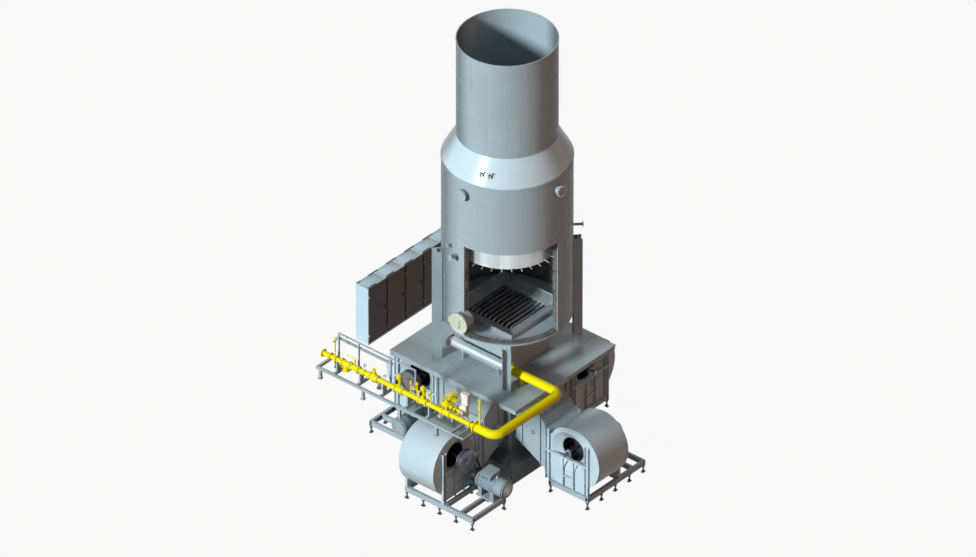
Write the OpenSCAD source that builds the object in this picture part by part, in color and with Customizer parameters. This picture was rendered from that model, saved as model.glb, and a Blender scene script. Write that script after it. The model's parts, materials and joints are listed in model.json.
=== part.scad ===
// Gas combustion unit of a gas carrier: four belt-driven fans blow air
// through an air hopper and a neck into an upright round chamber, where
// gas lances burn boil-off gas, and a wide stack carries the gas away.
// Millimetres, +Z up, origin on the chamber axis at the fan floor.

/* [Heights] */
// Height of the deck's upper face above the fan floor
deck_z = 4130; // [3900:10:4600]
// Height of the square neck between the deck and the chamber floor
neck_h = 1630; // [1400:10:2200]
// Height of the chamber shell above the chamber floor
shell_h = 6170; // [5200:10:7500]
// Height of the cut-away window above the chamber floor
window_h = 3570; // [2600:10:4400]
// Height of the cone between the shell and the stack
cone_h = 910; // [500:10:1500]
// Height of the stack above the cone
stack_h = 3660; // [1500:10:6000]

/* [Chamber] */
// Outer radius of the chamber shell
shell_r = 2185; // [2170:5:2400]
// Thickness of the shell plate
shell_t = 25; // [12:1:50]
// Thickness of the refractory lining inside the shell
lining_t = 190; // [120:5:200]
// Outer radius of the inner flame liner
liner_r = 1750; // [1650:5:1800]
// Thickness of the liner plate
liner_t = 15; // [8:1:30]
// Length of the liner below the underside of its top ring
liner_h = 3400; // [3000:10:3800]
// Outer radius of the stack
stack_r = 1690; // [1500:5:1900]
// Thickness of the stack and cone plate
stack_t = 20; // [10:1:40]
// Thickness of the round chamber floor
floor_t = 60; // [30:5:100]
// Number of spacer pins round the liner's lower edge
liner_pins = 36; // [24:4:48]
// Pitch of the lining anchors that stand out of the cut faces
anchor_pitch = 125; // [100:5:250]

/* [Burner] */
// Gap between the burner tray's corners and the lining
tray_gap = 42; // [30:1:100]
// Height of the burner tray's rim above the chamber floor
tray_h = 185; // [120:5:300]
// Half width of the grate opening in the chamber floor
grate_half = 930; // [800:5:960]
// Number of gas lances across the grate
lances = 10; // [6:1:12]
// Radius of one gas lance
lance_r = 38; // [20:1:45]
// Half width of the neck, outside
neck_half = 1000; // [985:5:1060]
// Thickness of the neck and hopper plates
neck_t = 20; // [10:1:25]

/* [Deck and columns] */
// Half width of the deck plate
deck_half = 2550; // [2400:10:3000]
// Extra length of the deck plate on its far side
deck_extra = 390; // [0:10:800]
// Thickness of the deck plate
deck_t = 40; // [20:5:60]
// Depth of the stiffeners under the deck plate
deck_rib_h = 140; // [60:5:200]
// Width and depth of the H-section columns
column_w = 300; // [200:10:340]
// Plan angle of the columns from the X axis
column_angle = 40; // [36:1:54]
// Height of the three long columns above the deck
column_h = 4250; // [2600:10:5000]

/* [Fans] */
// Height of the fan shafts above the floor
shaft_z = 1900; // [1880:10:2100]
// Distance of the fan shafts from the chamber axis
shaft_y = 3340; // [3200:10:3500]
// Radius of the fan shaft
shaft_r = 60; // [40:1:80]
// Half width of the fan casing along the shaft
casing_half = 750; // [700:10:780]
// Thickness of the fan casing plates
casing_t = 12; // [6:1:20]
// Radius of the scroll at its cut-off
scroll_r0 = 860; // [840:5:900]
// Radius of the scroll at its top
scroll_r1 = 940; // [900:5:1000]
// Radius of the scroll at its bottom
scroll_r2 = 1400; // [1250:5:1410]
// Outer radius of the fan wheel
wheel_r = 740; // [650:5:770]
// Radius of the fan wheel's eye
eye_r = 450; // [350:5:500]
// Number of blades on each side of the fan wheel
blades = 12; // [8:1:16]
// Radius of the round inlet in the casing's side
inlet_r = 770; // [700:5:800]
// Depth of the inlet cone
inlet_depth = 240; // [150:5:300]

/* [Fan drive] */
// Outer radius of the fan pulley
pulley_r = 400; // [320:5:420]
// Outer radius of the motor pulley
motor_pulley_r = 250; // [180:5:300]
// Width of both pulleys
pulley_w = 190; // [150:5:220]
// Distance of the pulleys from the middle of the casing
pulley_x = 955; // [950:5:1000]
// Number of belts on each fan
belts = 4; // [2:1:5]
// How far the motor lies from the fan shaft, towards the hopper
motor_y = 600; // [560:10:640]
// How far the motor lies below the fan shaft
motor_drop = 930; // [900:10:950]
// Radius of the motor's finned body
motor_r = 300; // [260:5:310]
// Length of the motor from its drive end to its cowl
motor_l = 1150; // [900:10:1300]
// Radius of the motor's shaft
motor_shaft_r = 40; // [30:1:50]

/* [Skids] */
// Length of a fan skid from the inlet side to the motor end
skid_l = 2950; // [2700:10:3200]
// Width of a fan skid
skid_w = 1700; // [1600:10:1800]
// Depth of the skid's rails
rail_h = 200; // [140:5:220]
// Width of the skid's rails
rail_w = 100; // [70:5:120]
// Height of the vibration mounts under the skid
mount_h = 280; // [200:5:300]
// Number of vibration mounts along each rail
mounts_row = 5; // [3:1:7]

/* [Air path] */
// Half width of the hopper's base box
base_half = 1390; // [1200:10:1450]
// Height of the hopper's base box
base_h = 700; // [400:10:800]
// Height over which the base box narrows to the hopper
base_slope_h = 300; // [150:10:400]
// Height of a duct's lower wall where it leaves the fan
duct_z0 = 740; // [720:10:800]
// Height of a duct's upper wall where it leaves the fan
duct_z1 = 2500; // [2450:10:2560]
// Height of a duct's lower wall where it meets the hopper
duct_z2 = 1470; // [1300:10:1500]
// Height of a duct's upper wall where it meets the hopper
duct_z3 = 3780; // [3600:10:3800]
// Thickness of the duct plates
duct_t = 12; // [6:1:20]
// Half length of a damper blade across its spindle
damper_half = 730; // [500:10:740]
// Radius of a damper's spindle
spindle_r = 35; // [20:1:45]

/* [Openings in the shell] */
// Height of the manhole's middle above the chamber floor
manhole_z = 650; // [600:10:1200]
// Outer radius of the manhole's neck
manhole_r = 305; // [250:5:320]
// Length of the manhole's neck outside the shell
manhole_l = 265; // [200:5:350]
// Thickness of the manhole cover
cover_t = 40; // [20:2:60]
// Depth of the inspection ports below the top of the shell
port_drop = 490; // [300:10:900]
// Outer radius of an inspection port's neck
port_r = 150; // [80:5:200]

/* [Gas pipes] */
// Outer radius of the gas main and of the header
main_r = 162; // [120:1:180]
// Height of the gas pipes' middle above the deck
gas_h = 410; // [380:5:460]
// Distance of the header from the chamber axis
header_x = 1250; // [1240:5:1330]
// Half length of the header
header_half = 1390; // [1200:10:1600]
// Distance of the gas main's cross run from the chamber axis
cross_y = 3370; // [3200:10:3600]
// Distance of the gas train from the chamber axis
train_x = 4540; // [4400:10:4700]
// Bend radius of the gas main's elbows, to the middle of the pipe
bend_r = 300; // [250:10:400]
// Outer radius of the gas train's pipe
train_r = 84; // [70:1:100]
// Distance of the train's inlet flange from the chamber axis
train_y1 = 4110; // [3900:10:4400]
// Distance of the train's reducer from the chamber axis
train_y0 = 2300; // [2200:10:2500]
// Radius of the bore in the inlet flange
inlet_bore_r = 77; // [50:1:77]

/* [Gas train skid] */
// Width of the gas train's skid
tskid_w = 900; // [800:10:1100]
// Section of the skid's rails
tskid_bar = 90; // [60:5:110]
// Length of the skid's legs below its rails
tskid_leg = 340; // [150:10:500]
// Height of the tray posts above the rails
tray_post = 970; // [700:10:1200]

/* [Control cabinets] */
// Number of cabinets in the row
cabinets = 5; // [5:1:5]
// Width of one cabinet
cabinet_w = 930; // [700:10:1000]
// Depth of a cabinet
cabinet_d = 550; // [400:10:700]
// Height of a cabinet
cabinet_h = 2270; // [1800:10:2400]
// Distance of the cabinets' front from the chamber axis
cabinet_y = 7560; // [6500:10:9000]
// Distance of the first cabinet's side from the chamber axis
cabinet_x = 1710; // [1000:10:3000]

/* [Hidden] */

// Fits and small sizes
seat = 0.3;         // gap between pieces that seat on each other
run = 0.05;         // radial clearance of a shaft in its bearing
eps = 1;            // how far a cut runs past a face
bolt_r = 12;        // radius of the flange bolts' holes

// Colours
steel = [0.66, 0.75, 0.80];
yellow = [0.96, 0.88, 0.05];
dark = [0.20, 0.20, 0.22];
brick = [0.35, 0.33, 0.32];
pale = [0.93, 0.90, 0.88];

// Levels
floor_z0 = deck_z + neck_h;
floor_z = floor_z0 + floor_t;
shell_z1 = floor_z + shell_h;
cone_z1 = shell_z1 + cone_h;
window_z = floor_z + window_h;
gas_z = deck_z + gas_h;
lining_r = shell_r - shell_t - seat;
lining_r0 = lining_r - lining_t;
tray_half = (lining_r0 - tray_gap) / sqrt(2);
strainer_y = 3110;
isolating_y = 2720;
regulator_y = 1895;
shutoff_ys = [810, -235];
control_y = -1250;
valve_half = 160;
regulator_r = 154;
valve_ys = concat([strainer_y, isolating_y, regulator_y], shutoff_ys, [control_y]);
liner_ring = 40;
liner_z0 = shell_z1 - liner_ring - liner_h;

// Fan layout, for the fan on the -Y side; the others are turned copies
skid_x0 = -casing_half - 90;
skid_y0 = -shaft_y - skid_w / 2 - 30;
skid_y1 = skid_y0 + skid_w;
skid_z = mount_h + rail_h;
flange_y = -(shaft_y - 990);
scroll_out = shaft_y + flange_y;
post_w = 160;
post_t = 90;
post_z = 2450;
split_z = 1620;
motor_x0 = pulley_x + pulley_w + 60;
cabinet_base = 100;

// Small helpers
function polar(r, a) = [r * cos(a), r * sin(a)];
module ring(r1, r0, h) {
  difference() {
    cylinder(r = r1, h = h, $fn = 180);
    translate([0, 0, -eps]) cylinder(r = r0, h = h + 2 * eps, $fn = 180);
  }
}
module along_x() rotate([0, 90, 0]) children();
module along_y() rotate([-90, 0, 0]) children();
module rod_x(r, l) along_x() cylinder(r = r, h = l, $fn = 48);
module rod_y(r, l) along_y() cylinder(r = r, h = l, $fn = 48);
module rod_z(r, l) cylinder(r = r, h = l, $fn = 48);
// A solid of square plan whose half width follows [half, z] points
module square_solid(points) {
  n = len(points);
  outline = concat(points, [for (i = [n - 1:-1:0]) [-points[i][0], points[i][1]]]);
  wide = 2 * max([for (p = points) p[0]]) + 2;
  intersection() {
    rotate([90, 0, 0]) linear_extrude(wide, center = true) polygon(outline);
    rotate([90, 0, 90]) linear_extrude(wide, center = true) polygon(outline);
  }
}
// The quadrant that the window takes out, between two heights
module window_cut(z0, z1) {
  far = shell_r + 500;
  translate([-far, -far, z0]) cube([far, far, z1 - z0]);
}
// A flat round flange with a circle of holes
module drilled_flange(r, t, r0, holes) {
  difference() {
    cylinder(r = r, h = t, $fn = 96);
    translate([0, 0, -eps]) cylinder(r = r0, h = t + 2 * eps, $fn = 96);
    for (i = [0:holes - 1]) rotate((i + 0.5) * 360 / holes)
      translate([(r + r0) / 2 + 12, 0, -eps]) cylinder(r = bolt_r, h = t + 2 * eps, $fn = 24);
  }
}
module bolt_circle(r, t, holes) {
  for (i = [0:holes - 1]) rotate((i + 0.5) * 360 / holes)
    translate([r, 0, 0]) cylinder(r = 18, h = t, $fn = 6);
}
// A quarter bend of a round bar: starts along +X from the origin and turns to +Y
module bend(big, r) {
  translate([0, big, 0]) rotate(-90)
    rotate_extrude(angle = 90, $fn = 96) translate([big, 0]) circle(r = r, $fn = 48);
}

// Chamber and stack
module exhaust_stack() color(steel) {
  translate([0, 0, cone_z1]) {
    ring(stack_r, stack_r - stack_t, stack_h);
    ring(stack_r + 12, stack_r - 1, 30);
    translate([0, 0, stack_h - 60]) ring(stack_r + 12, stack_r - 1, 60);
  }
}
module transition_cone() color(steel) {
  translate([0, 0, shell_z1]) rotate_extrude($fn = 180)
    polygon([[shell_r, 0], [shell_r, 40], [stack_r, cone_h], [stack_r - stack_t, cone_h],
      [shell_r - stack_t - 10, 40], [shell_r - stack_t - 10, 0]]);
}
module outer_shell() color(steel) {
  difference() {
    union() {
      translate([0, 0, floor_z]) ring(shell_r, shell_r - shell_t, shell_h);
      translate([0, 0, shell_z1 - 60]) ring(shell_r + 14, shell_r - 1, 60);
    }
    window_cut(floor_z - eps, window_z);
    shell_holes();
  }
}
module shell_holes() {
  translate([-shell_r - eps, 0, floor_z + manhole_z])
    along_x() cylinder(r = manhole_r + seat, h = 400, $fn = 96);
  for (a = [180, 270]) rotate(a) translate([shell_r - 300, 0, shell_z1 - port_drop])
    along_x() cylinder(r = port_r + seat, h = 400, $fn = 72);
}
module chamber_lining() color(brick) {
  top = shell_z1 - liner_ring;
  difference() {
    translate([0, 0, floor_z]) ring(lining_r, lining_r0, top - floor_z);
    window_cut(floor_z + 0.4 * anchor_pitch, window_z);
    shell_holes();
  }
  mid = (lining_r + lining_r0) / 2;
  rows = floor((window_h - anchor_pitch) / anchor_pitch);
  for (i = [1:rows], side = [-0.3, 0.3]) {
    z = floor_z + i * anchor_pitch + 60;
    if (abs(z - floor_z - manhole_z) > manhole_r + 40)
      translate([-mid - side * lining_t, 10, z]) rotate([90, 0, 0]) rod_z(9, 75);
    translate([10, -mid - side * lining_t, z]) rotate([0, -90, 0]) rod_z(9, 75);
  }
  steps = floor(90 / (anchor_pitch * 0.85 / mid * 180 / PI));
  for (i = [1:steps - 1]) rotate(180 + i * 90 / steps)
    translate([lining_r0 + 22, 0, floor_z + 10]) rod_z(9, 0.4 * anchor_pitch + 65);
}
module inner_liner() color(steel) {
  translate([0, 0, liner_z0]) {
    ring(liner_r, liner_r - liner_t, liner_h + liner_ring);
    ring(liner_r + 12, liner_r - 1, 60);
    translate([0, 0, liner_h]) ring(lining_r - seat, liner_r - 1, liner_ring);
    for (i = [0:liner_pins - 1]) rotate(i * 360 / liner_pins + 5)
      translate([liner_r + 12 + seat, 0, 30]) rod_x(12, lining_r0 - liner_r - 12 - 2 * seat);
  }
}
module chamber_floor() color(steel) {
  difference() {
    translate([0, 0, floor_z0]) cylinder(r = shell_r, h = floor_t, $fn = 180);
    translate([0, 0, floor_z0]) cube([2 * grate_half, 2 * grate_half, 3 * floor_t], center = true);
  }
}
module burner_tray() color(dark) {
  lip = 25;
  difference() {
    translate([-tray_half, -tray_half, floor_z]) cube([2 * tray_half, 2 * tray_half, tray_h]);
    square_solid([[grate_half, floor_z - 10], [grate_half, floor_z + 12],
      [tray_half - lip, floor_z + tray_h - 40], [tray_half - lip, floor_z + tray_h + 5]]);
  }
}
// Each lance leaves the header, passes the neck's side, turns up and
// lies across the grate
module gas_lances() color(dark) {
  pitch = 2 * grate_half / lances;
  turn = 90;
  riser_x = -neck_half + neck_t + 150;
  bar_z = floor_z0 + floor_t / 2;
  for (i = [0:lances - 1]) translate([0, -grate_half + (i + 0.5) * pitch, 0]) {
    difference() {
      translate([-header_x, 0, gas_z]) rod_x(lance_r, header_x + riser_x - turn - seat);
      translate([-header_x, -pitch, gas_z]) rod_y(main_r + seat, 2 * pitch);
    }
    translate([riser_x - turn, 0, gas_z]) rotate([90, 0, 0]) bend(turn, lance_r);
    translate([riser_x, 0, gas_z + turn + seat]) rod_z(lance_r, bar_z - gas_z - 2 * (turn + seat));
    translate([riser_x, 0, bar_z - turn]) rotate([90, -90, 0]) mirror([0, 1, 0]) bend(turn, lance_r);
    translate([riser_x + turn + seat, 0, bar_z])
      rod_x(lance_r, grate_half - 6 - riser_x - turn - seat);
  }
}
module gas_header() color(steel) {
  translate([-header_x, -header_half + 250, gas_z]) {
    rod_y(main_r, 2 * header_half - 250);
    rod_y(main_r + 70, 30);
  }
  translate([-header_x, header_half, gas_z]) rod_y(main_r + 60, 28);
  for (y = [-0.55, 0.55]) translate([-header_x, y * header_half, deck_z]) difference() {
    translate([-110, -15, 0]) cube([220, 30, gas_h]);
    translate([0, -20, gas_h]) rod_y(main_r - 5, 40);
  }
}
module neck_box() color(steel) {
  pitch = 2 * grate_half / lances;
  difference() {
    square_solid([[neck_half + 90, deck_z], [neck_half + 90, deck_z + 30], [neck_half, deck_z + 30],
      [neck_half, floor_z0 - 30], [neck_half + 70, floor_z0 - 30], [neck_half + 70, floor_z0]]);
    translate([-neck_half + neck_t, -neck_half + neck_t, deck_z - eps])
      cube([2 * (neck_half - neck_t), 2 * (neck_half - neck_t), neck_h + 2 * eps]);
    for (i = [0:lances - 1])
      translate([-neck_half - 100, -grate_half + (i + 0.5) * pitch, gas_z]) rod_x(lance_r + seat, 200);
  }
}

// Deck, columns and brackets
rib_t = 20;
rib_xs = [-deck_half + 30, -1600, -1080, 1080, 1600, deck_half - 30];
rib_ys = [-deck_half + 20, -1085, 1065, deck_half + deck_extra - 40];
// Four plates round the opening, with long ribs and short ribs welded under them
module deck_plate() color(steel) {
  z0 = deck_z - deck_t;
  hole = neck_half - neck_t;
  y1 = deck_half + deck_extra;
  translate([-deck_half, -deck_half, z0]) cube([2 * deck_half, deck_half - hole, deck_t]);
  translate([-deck_half, hole, z0]) cube([2 * deck_half, y1 - hole, deck_t]);
  for (x = [-deck_half, hole]) translate([x, -hole + seat, z0])
    cube([deck_half - hole, 2 * (hole - seat), deck_t]);
  for (x = rib_xs) translate([x - rib_t / 2, -deck_half + 20, z0 - deck_rib_h])
    cube([rib_t, y1 + deck_half - 40, deck_rib_h - seat]);
  for (y = rib_ys, i = [0:len(rib_xs) - 2]) {
    x0 = rib_xs[i] + rib_t / 2 + seat;
    translate([x0, y, z0 - deck_rib_h])
      cube([rib_xs[i + 1] - rib_t / 2 - seat - x0, rib_t, deck_rib_h - seat]);
  }
}
column_d = shell_r + column_w / 2 + 15;
column_dirs = [column_angle, 180 - column_angle, 180 + column_angle, -column_angle];
function column_top(i) = i == 2 ? floor_z0 : deck_z + column_h;
module support_columns() color(steel) {
  h = column_w;
  for (i = [0:3]) rotate(column_dirs[i]) translate([column_d, 0, deck_z + seat]) {
    tall = column_top(i) - deck_z - seat;
    difference() {
      translate([-h / 2, -h / 2, 0]) cube([h, h, tall]);
      for (s = [-1, 1]) translate([s * (h / 2 + 6), 0, tall / 2])
        cube([h, h - 38, tall + 2], center = true);
    }
    translate([-h / 2 - 10, -h / 2 - 10, 0]) cube([h + 20, h + 20, 20]);
  }
}
// A plate from each long column's web to the shell, and an arm under the floor
arm_r0 = 1560;
arm_r1 = column_d - 6 - seat;
module column_brackets() color(steel) {
  for (i = [0:3]) rotate(column_dirs[i]) {
    rotate([90, 0, 0]) linear_extrude(20, center = true)
      polygon([[arm_r0, floor_z0 - 60], [arm_r0, floor_z0 - seat], [arm_r1, floor_z0 - seat],
        [arm_r1, floor_z0 - 300]]);
    if (i != 2) difference() {
      translate([shell_r - 60, -10, floor_z0 + seat])
        cube([column_d - shell_r + 60 - 6 - seat, 20, column_top(i) - floor_z0 - 40]);
      cylinder(r = shell_r + seat, h = shell_z1, $fn = 180);
    }
  }
}

// Manhole, ports and nozzles
mh_face = -(shell_r + manhole_l);
mh_z = floor_z + manhole_z;
hinge_y = manhole_r + 110;
hinge_r = 14;
module manhole_neck() color(steel) {
  difference() {
    union() {
      translate([mh_face, 0, mh_z]) {
        rod_x(manhole_r, manhole_l + shell_t + 120);
        rod_x(manhole_r + 65, 30);
      }
      for (dz = [-90, 90]) translate([mh_face - cover_t / 2 - 15, hinge_y - 60, mh_z + dz - 15])
        cube([45 + cover_t / 2, 90, 30]);
    }
    translate([mh_face - eps, 0, mh_z]) along_x() cylinder(r = manhole_r - 12, h = 900, $fn = 96);
    translate([mh_face - 200, -500, mh_z - 200]) cube([200 - seat, 500 + manhole_r + 68, 400]);
    translate([mh_face - seat - cover_t / 2, hinge_y, mh_z - 200]) rod_z(hinge_r + run, 400);
  }
}
module manhole_cover() color(pale) {
  translate([mh_face - seat - cover_t, 0, mh_z]) {
    difference() {
      rod_x(manhole_r + 65, cover_t);
      translate([-eps, 0, 0]) rod_x(manhole_r - 60, 12);
    }
    translate([0, manhole_r + 20, -70]) cube([cover_t, hinge_y - manhole_r - 20, 140]);
    translate([cover_t / 2, hinge_y, -130]) rod_z(hinge_r, 260);
    translate([cover_t / 2, hinge_y, -70]) rod_z(26, 140);
    translate([-70, -60, -130]) rod_z(11, 260);
    for (z = [-130, 130]) translate([-78, -60, z]) rod_x(11, 90);
  }
}
module inspection_ports() color(steel) {
  for (a = [180, 270]) rotate(a) translate([shell_r - 180, 0, shell_z1 - port_drop]) {
    difference() {
      rod_x(port_r, 330);
      translate([-eps, 0, 0]) rod_x(port_r - 10, 330);
    }
    translate([300, 0, 0]) rod_x(port_r + 60, 24);
    translate([325, 0, 0]) rod_x(port_r + 60, 28);
    translate([350, 0, 0]) along_x() bolt_circle(port_r + 35, 16, 12);
  }
}
module nozzle(r, l) {
  rod_x(r, l);
  translate([l - 22, 0, 0]) rod_x(r + 55, 22);
}
module shell_nozzles() color(steel) {
  difference() {
    union() {
      rotate(-45) translate([shell_r - 40, 0, window_z - 360]) nozzle(45, 370);
      rotate(171) translate([shell_r - 40, 0, window_z - 490]) nozzle(60, 340);
      rotate(163) translate([shell_r - 40, 0, window_z - 250]) nozzle(22, 200);
    }
    cylinder(r = shell_r + seat, h = shell_z1 + 200, $fn = 180);
  }
  for (a = [196, 204]) rotate(a) difference() {
    translate([stack_r, 0, cone_z1 - 500]) {
      rod_x(24, 480);
      translate([440, 0, -55]) rod_z(24, 190);
      translate([440, -75, 130]) rod_y(11, 150);
    }
    translate([0, 0, shell_z1 + 40]) cylinder(r1 = shell_r + seat, r2 = stack_r + seat,
      h = cone_h - 40, $fn = 180);
  }
}

// Air hopper, ducts and dampers
duct_half = casing_half;
slope_z0 = base_h - neck_t / 3;
slope_z1 = base_h + base_slope_h;
mouth_half = duct_half - duct_t;
mouth_z0 = duct_z2 + duct_t;
mouth_z1 = duct_z3 - duct_t;
// Keeps what lies on the -Y side, mitred at both corners
module mitre() {
  far = 2 * base_half;
  near = seat / sqrt(2);
  intersection() {
    children();
    linear_extrude(deck_z) polygon([[0, -near], [far, -far - near], [-far, -far - near]]);
  }
}
// One side's plates: base wall, slope, four plates round the duct's mouth and a
// flat bar along the base's upper edge
module hopper_side() {
  wide = 2 * base_half;
  mitre() yz_extrude(wide) polygon([[-base_half, neck_t], [-base_half, slope_z0 - seat],
    [-base_half + neck_t, slope_z0 - seat], [-base_half + neck_t, neck_t]]);
  mitre() yz_extrude(wide) polygon([[-base_half, slope_z0], [-base_half, base_h],
    [-neck_half, slope_z1], [-neck_half + neck_t, slope_z1], [-base_half + neck_t, slope_z0]]);
  for (z = [[slope_z1 + seat, mouth_z0], [mouth_z1, deck_z - deck_t]])
    mitre() translate([-neck_half, -neck_half, z[0]]) cube([2 * neck_half, neck_t, z[1] - z[0]]);
  for (x = [-neck_half, mouth_half + seat])
    mitre() translate([x, -neck_half, mouth_z0 + seat])
      cube([neck_half - mouth_half - seat, neck_t, mouth_z1 - mouth_z0 - 2 * seat]);
  mitre() translate([-base_half - 40, -base_half - 40, base_h - 30])
    cube([wide + 80, 40 - seat, 25]);
}
module air_hopper() color(steel) {
  translate([-base_half, -base_half, 0]) cube([2 * base_half, 2 * base_half, neck_t - seat]);
  for (k = [0:3]) rotate(-90 * k) hopper_side();
}
function duct_side(d, e) = [[flange_y - e, duct_z0 + d], [-neck_half + e, duct_z2 + d],
  [-neck_half + e, duct_z3 - d], [flange_y - e, duct_z1 - d]];
spindle_y = (flange_y - neck_half) / 2 - 75;
spindle_z = (duct_z0 + duct_z1 + duct_z2 + duct_z3) / 4 - 125;
flow_angle = atan((duct_z2 + duct_z3 - duct_z0 - duct_z1) / 2 / (-neck_half - flange_y));
module yz_extrude(w) rotate([90, 0, 90]) linear_extrude(w, center = true) children();
module duct_rib(y) {
  z0 = duct_z0 + (y - flange_y) * (duct_z2 - duct_z0) / (-neck_half - flange_y);
  z1 = duct_z1 + (y - flange_y) * (duct_z3 - duct_z1) / (-neck_half - flange_y);
  yz_extrude(2 * duct_half + 100)
    polygon([[y - 6, z0 - 50], [y + 6, z0 - 50], [y + 6, z1 + 50], [y - 6, z1 + 50]]);
}
module air_ducts() color(steel) {
  for (k = [0:3]) rotate(-90 * k) difference() {
    union() {
      yz_extrude(2 * duct_half) polygon(duct_side(0, 0));
      for (f = [0.18, 0.76]) duct_rib(flange_y + f * (-neck_half - flange_y));
      translate([-duct_half - 60, flange_y, duct_z0 - 60])
        cube([2 * duct_half + 120, 20, duct_z1 - duct_z0 + 120]);
      translate([-duct_half - 40, spindle_y, spindle_z]) rod_x(spindle_r + 40, 2 * duct_half + 80);
    }
    yz_extrude(2 * (duct_half - duct_t)) polygon(duct_side(duct_t, eps));
    translate([-duct_half - 60, spindle_y, spindle_z]) rod_x(spindle_r + run, 2 * duct_half + 120);
  }
}
// One flat blade on its spindle, lying along the flow, with its hand lever
module damper(k) color(steel) rotate(-90 * k) translate([0, spindle_y, spindle_z]) {
  half = duct_half - duct_t - 6;
  translate([-duct_half - 70, 0, 0]) rod_x(spindle_r, 2 * duct_half + 180);
  rotate([flow_angle, 0, 0]) {
    translate([-half, -damper_half, -8]) cube([2 * half, 2 * damper_half, 16]);
    for (x = [-0.6, 0, 0.6]) translate([x * half - 10, -0.7 * damper_half, -30])
      cube([20, 1.4 * damper_half, 60]);
    translate([duct_half + 60, -40, -40]) cube([24, 420, 80]);
    translate([duct_half + 60, 360, 0]) rod_x(18, 120);
  }
}

// Fans
function scroll_r(a) = a < 90
  ? scroll_r0 + (scroll_r1 - scroll_r0) * (a - 28) / 62
  : scroll_r2 - (scroll_r2 - scroll_r1) * pow((270 - a) / 180, 2);
// Outline of the scroll round the shaft, set in by d, with the outlet to the right
function scroll_line(d, e) = concat(
  [for (a = [28:3:268]) polar(scroll_r(a) - d, a)],
  [[0, -scroll_r2 + d], [380, -scroll_r2 + 25 + d],
   [scroll_out + e, duct_z0 - shaft_z + d],
   [scroll_out + e, duct_z1 - shaft_z - d]]);
module fan_casing(k) color(steel) rotate(-90 * k) {
  difference() {
    union() {
      translate([0, -shaft_y, shaft_z]) yz_extrude(2 * casing_half) polygon(scroll_line(0, 0));
      casing_frame();
      translate([-casing_half - 60, flange_y - 20 - seat, duct_z0 - 60])
        cube([2 * casing_half + 120, 20, duct_z1 - duct_z0 + 120]);
    }
    translate([0, -shaft_y, shaft_z]) {
      yz_extrude(2 * (casing_half - casing_t)) polygon(scroll_line(casing_t, eps));
      translate([-casing_half - eps, 0, 0])
        along_x() cylinder(r = inlet_r, h = 2 * casing_half + 2 * eps, $fn = 144);
    }
  }
  for (s = [-1, 1]) {
    translate([0, -shaft_y, shaft_z]) mirror([s < 0 ? 1 : 0, 0, 0]) inlet_cone();
    casing_beams(s);
  }
}
// Side plates below the split line, with the posts that carry the casing
module casing_frame() {
  for (s = [-1, 1]) translate([s * (casing_half - casing_t / 2) - casing_t / 2, skid_y0, skid_z])
    cube([casing_t, flange_y - skid_y0 - 5, split_z - skid_z]);
}
module casing_beams(s) {
  x0 = s > 0 ? casing_half - 1 : -casing_half - post_t;
  t = post_t + 1;
  y1 = flange_y - 20 - seat;
  for (y = [skid_y0, y1 - post_w]) translate([x0, y, skid_z]) difference() {
    cube([t, post_w, post_z - skid_z]);
    translate([s > 0 ? 20 : -eps, 14, -eps]) cube([t - 20 + eps, post_w - 28, post_z]);
  }
  translate([x0, skid_y0, split_z]) cube([t, y1 - skid_y0, 50]);
  for (y = [-shaft_y - 240, -shaft_y + 200]) translate([x0, y, skid_z])
    cube([t * 0.7, 40, split_z - skid_z + 10]);
  translate([x0, -shaft_y - 220, 900]) cube([t * 0.6, 440, 40]);
}
module inlet_cone() {
  translate([-casing_half, 0, 0]) along_x() rotate_extrude($fn = 144)
    polygon([[inlet_r + 25, 0], [inlet_r + 25, 10], [inlet_r - 5, 14], [eye_r + 10, inlet_depth - 30],
      [eye_r + 8, inlet_depth], [eye_r, inlet_depth], [eye_r, inlet_depth - 34], [inlet_r - 30, 0]]);
}
wheel_half = casing_half - inlet_depth - 15;
// A double-inlet wheel with backward-curved blades, its shaft and its pulley
module fan_rotor(k) color(dark) rotate(-90 * k) translate([0, -shaft_y, shaft_z]) {
  translate([-casing_half - 250, 0, 0]) rod_x(shaft_r, casing_half + 250 + pulley_x + pulley_w + 10);
  along_x() {
    translate([0, 0, -8]) cylinder(r = wheel_r, h = 16, $fn = 144);
    translate([0, 0, -120]) cylinder(r = shaft_r + 50, h = 240, $fn = 72);
    for (s = [0, 1]) mirror([0, 0, s]) {
      translate([0, 0, wheel_half - 10]) difference() {
        cylinder(r = wheel_r, h = 10, $fn = 144);
        translate([0, 0, -eps]) cylinder(r = eye_r, h = 12 + eps, $fn = 144);
      }
      for (i = [0:blades - 1]) rotate((i + s / 2) * 360 / blades)
        linear_extrude(wheel_half - 5) blade_section();
    }
    translate([0, 0, pulley_x]) pulley(pulley_r, shaft_r - 5);
  }
}
module blade_section() {
  bow = wheel_r * 0.75;
  r0 = eye_r + 20;
  intersection() {
    translate([(wheel_r + r0) / 2 - bow * 0.72, -bow * 0.72]) difference() {
      circle(r = bow, $fn = 144);
      circle(r = bow - 8, $fn = 144);
    }
    difference() {
      circle(r = wheel_r - 3, $fn = 144);
      circle(r = r0, $fn = 144);
    }
    translate([0, -wheel_r * 0.45]) square([wheel_r, wheel_r * 0.9]);
  }
}
groove = 15;
belt_pitch = 36;
belt_w = 22;
function belt_z(i) = pulley_w / 2 + (i - (belts - 1) / 2) * belt_pitch;
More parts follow.
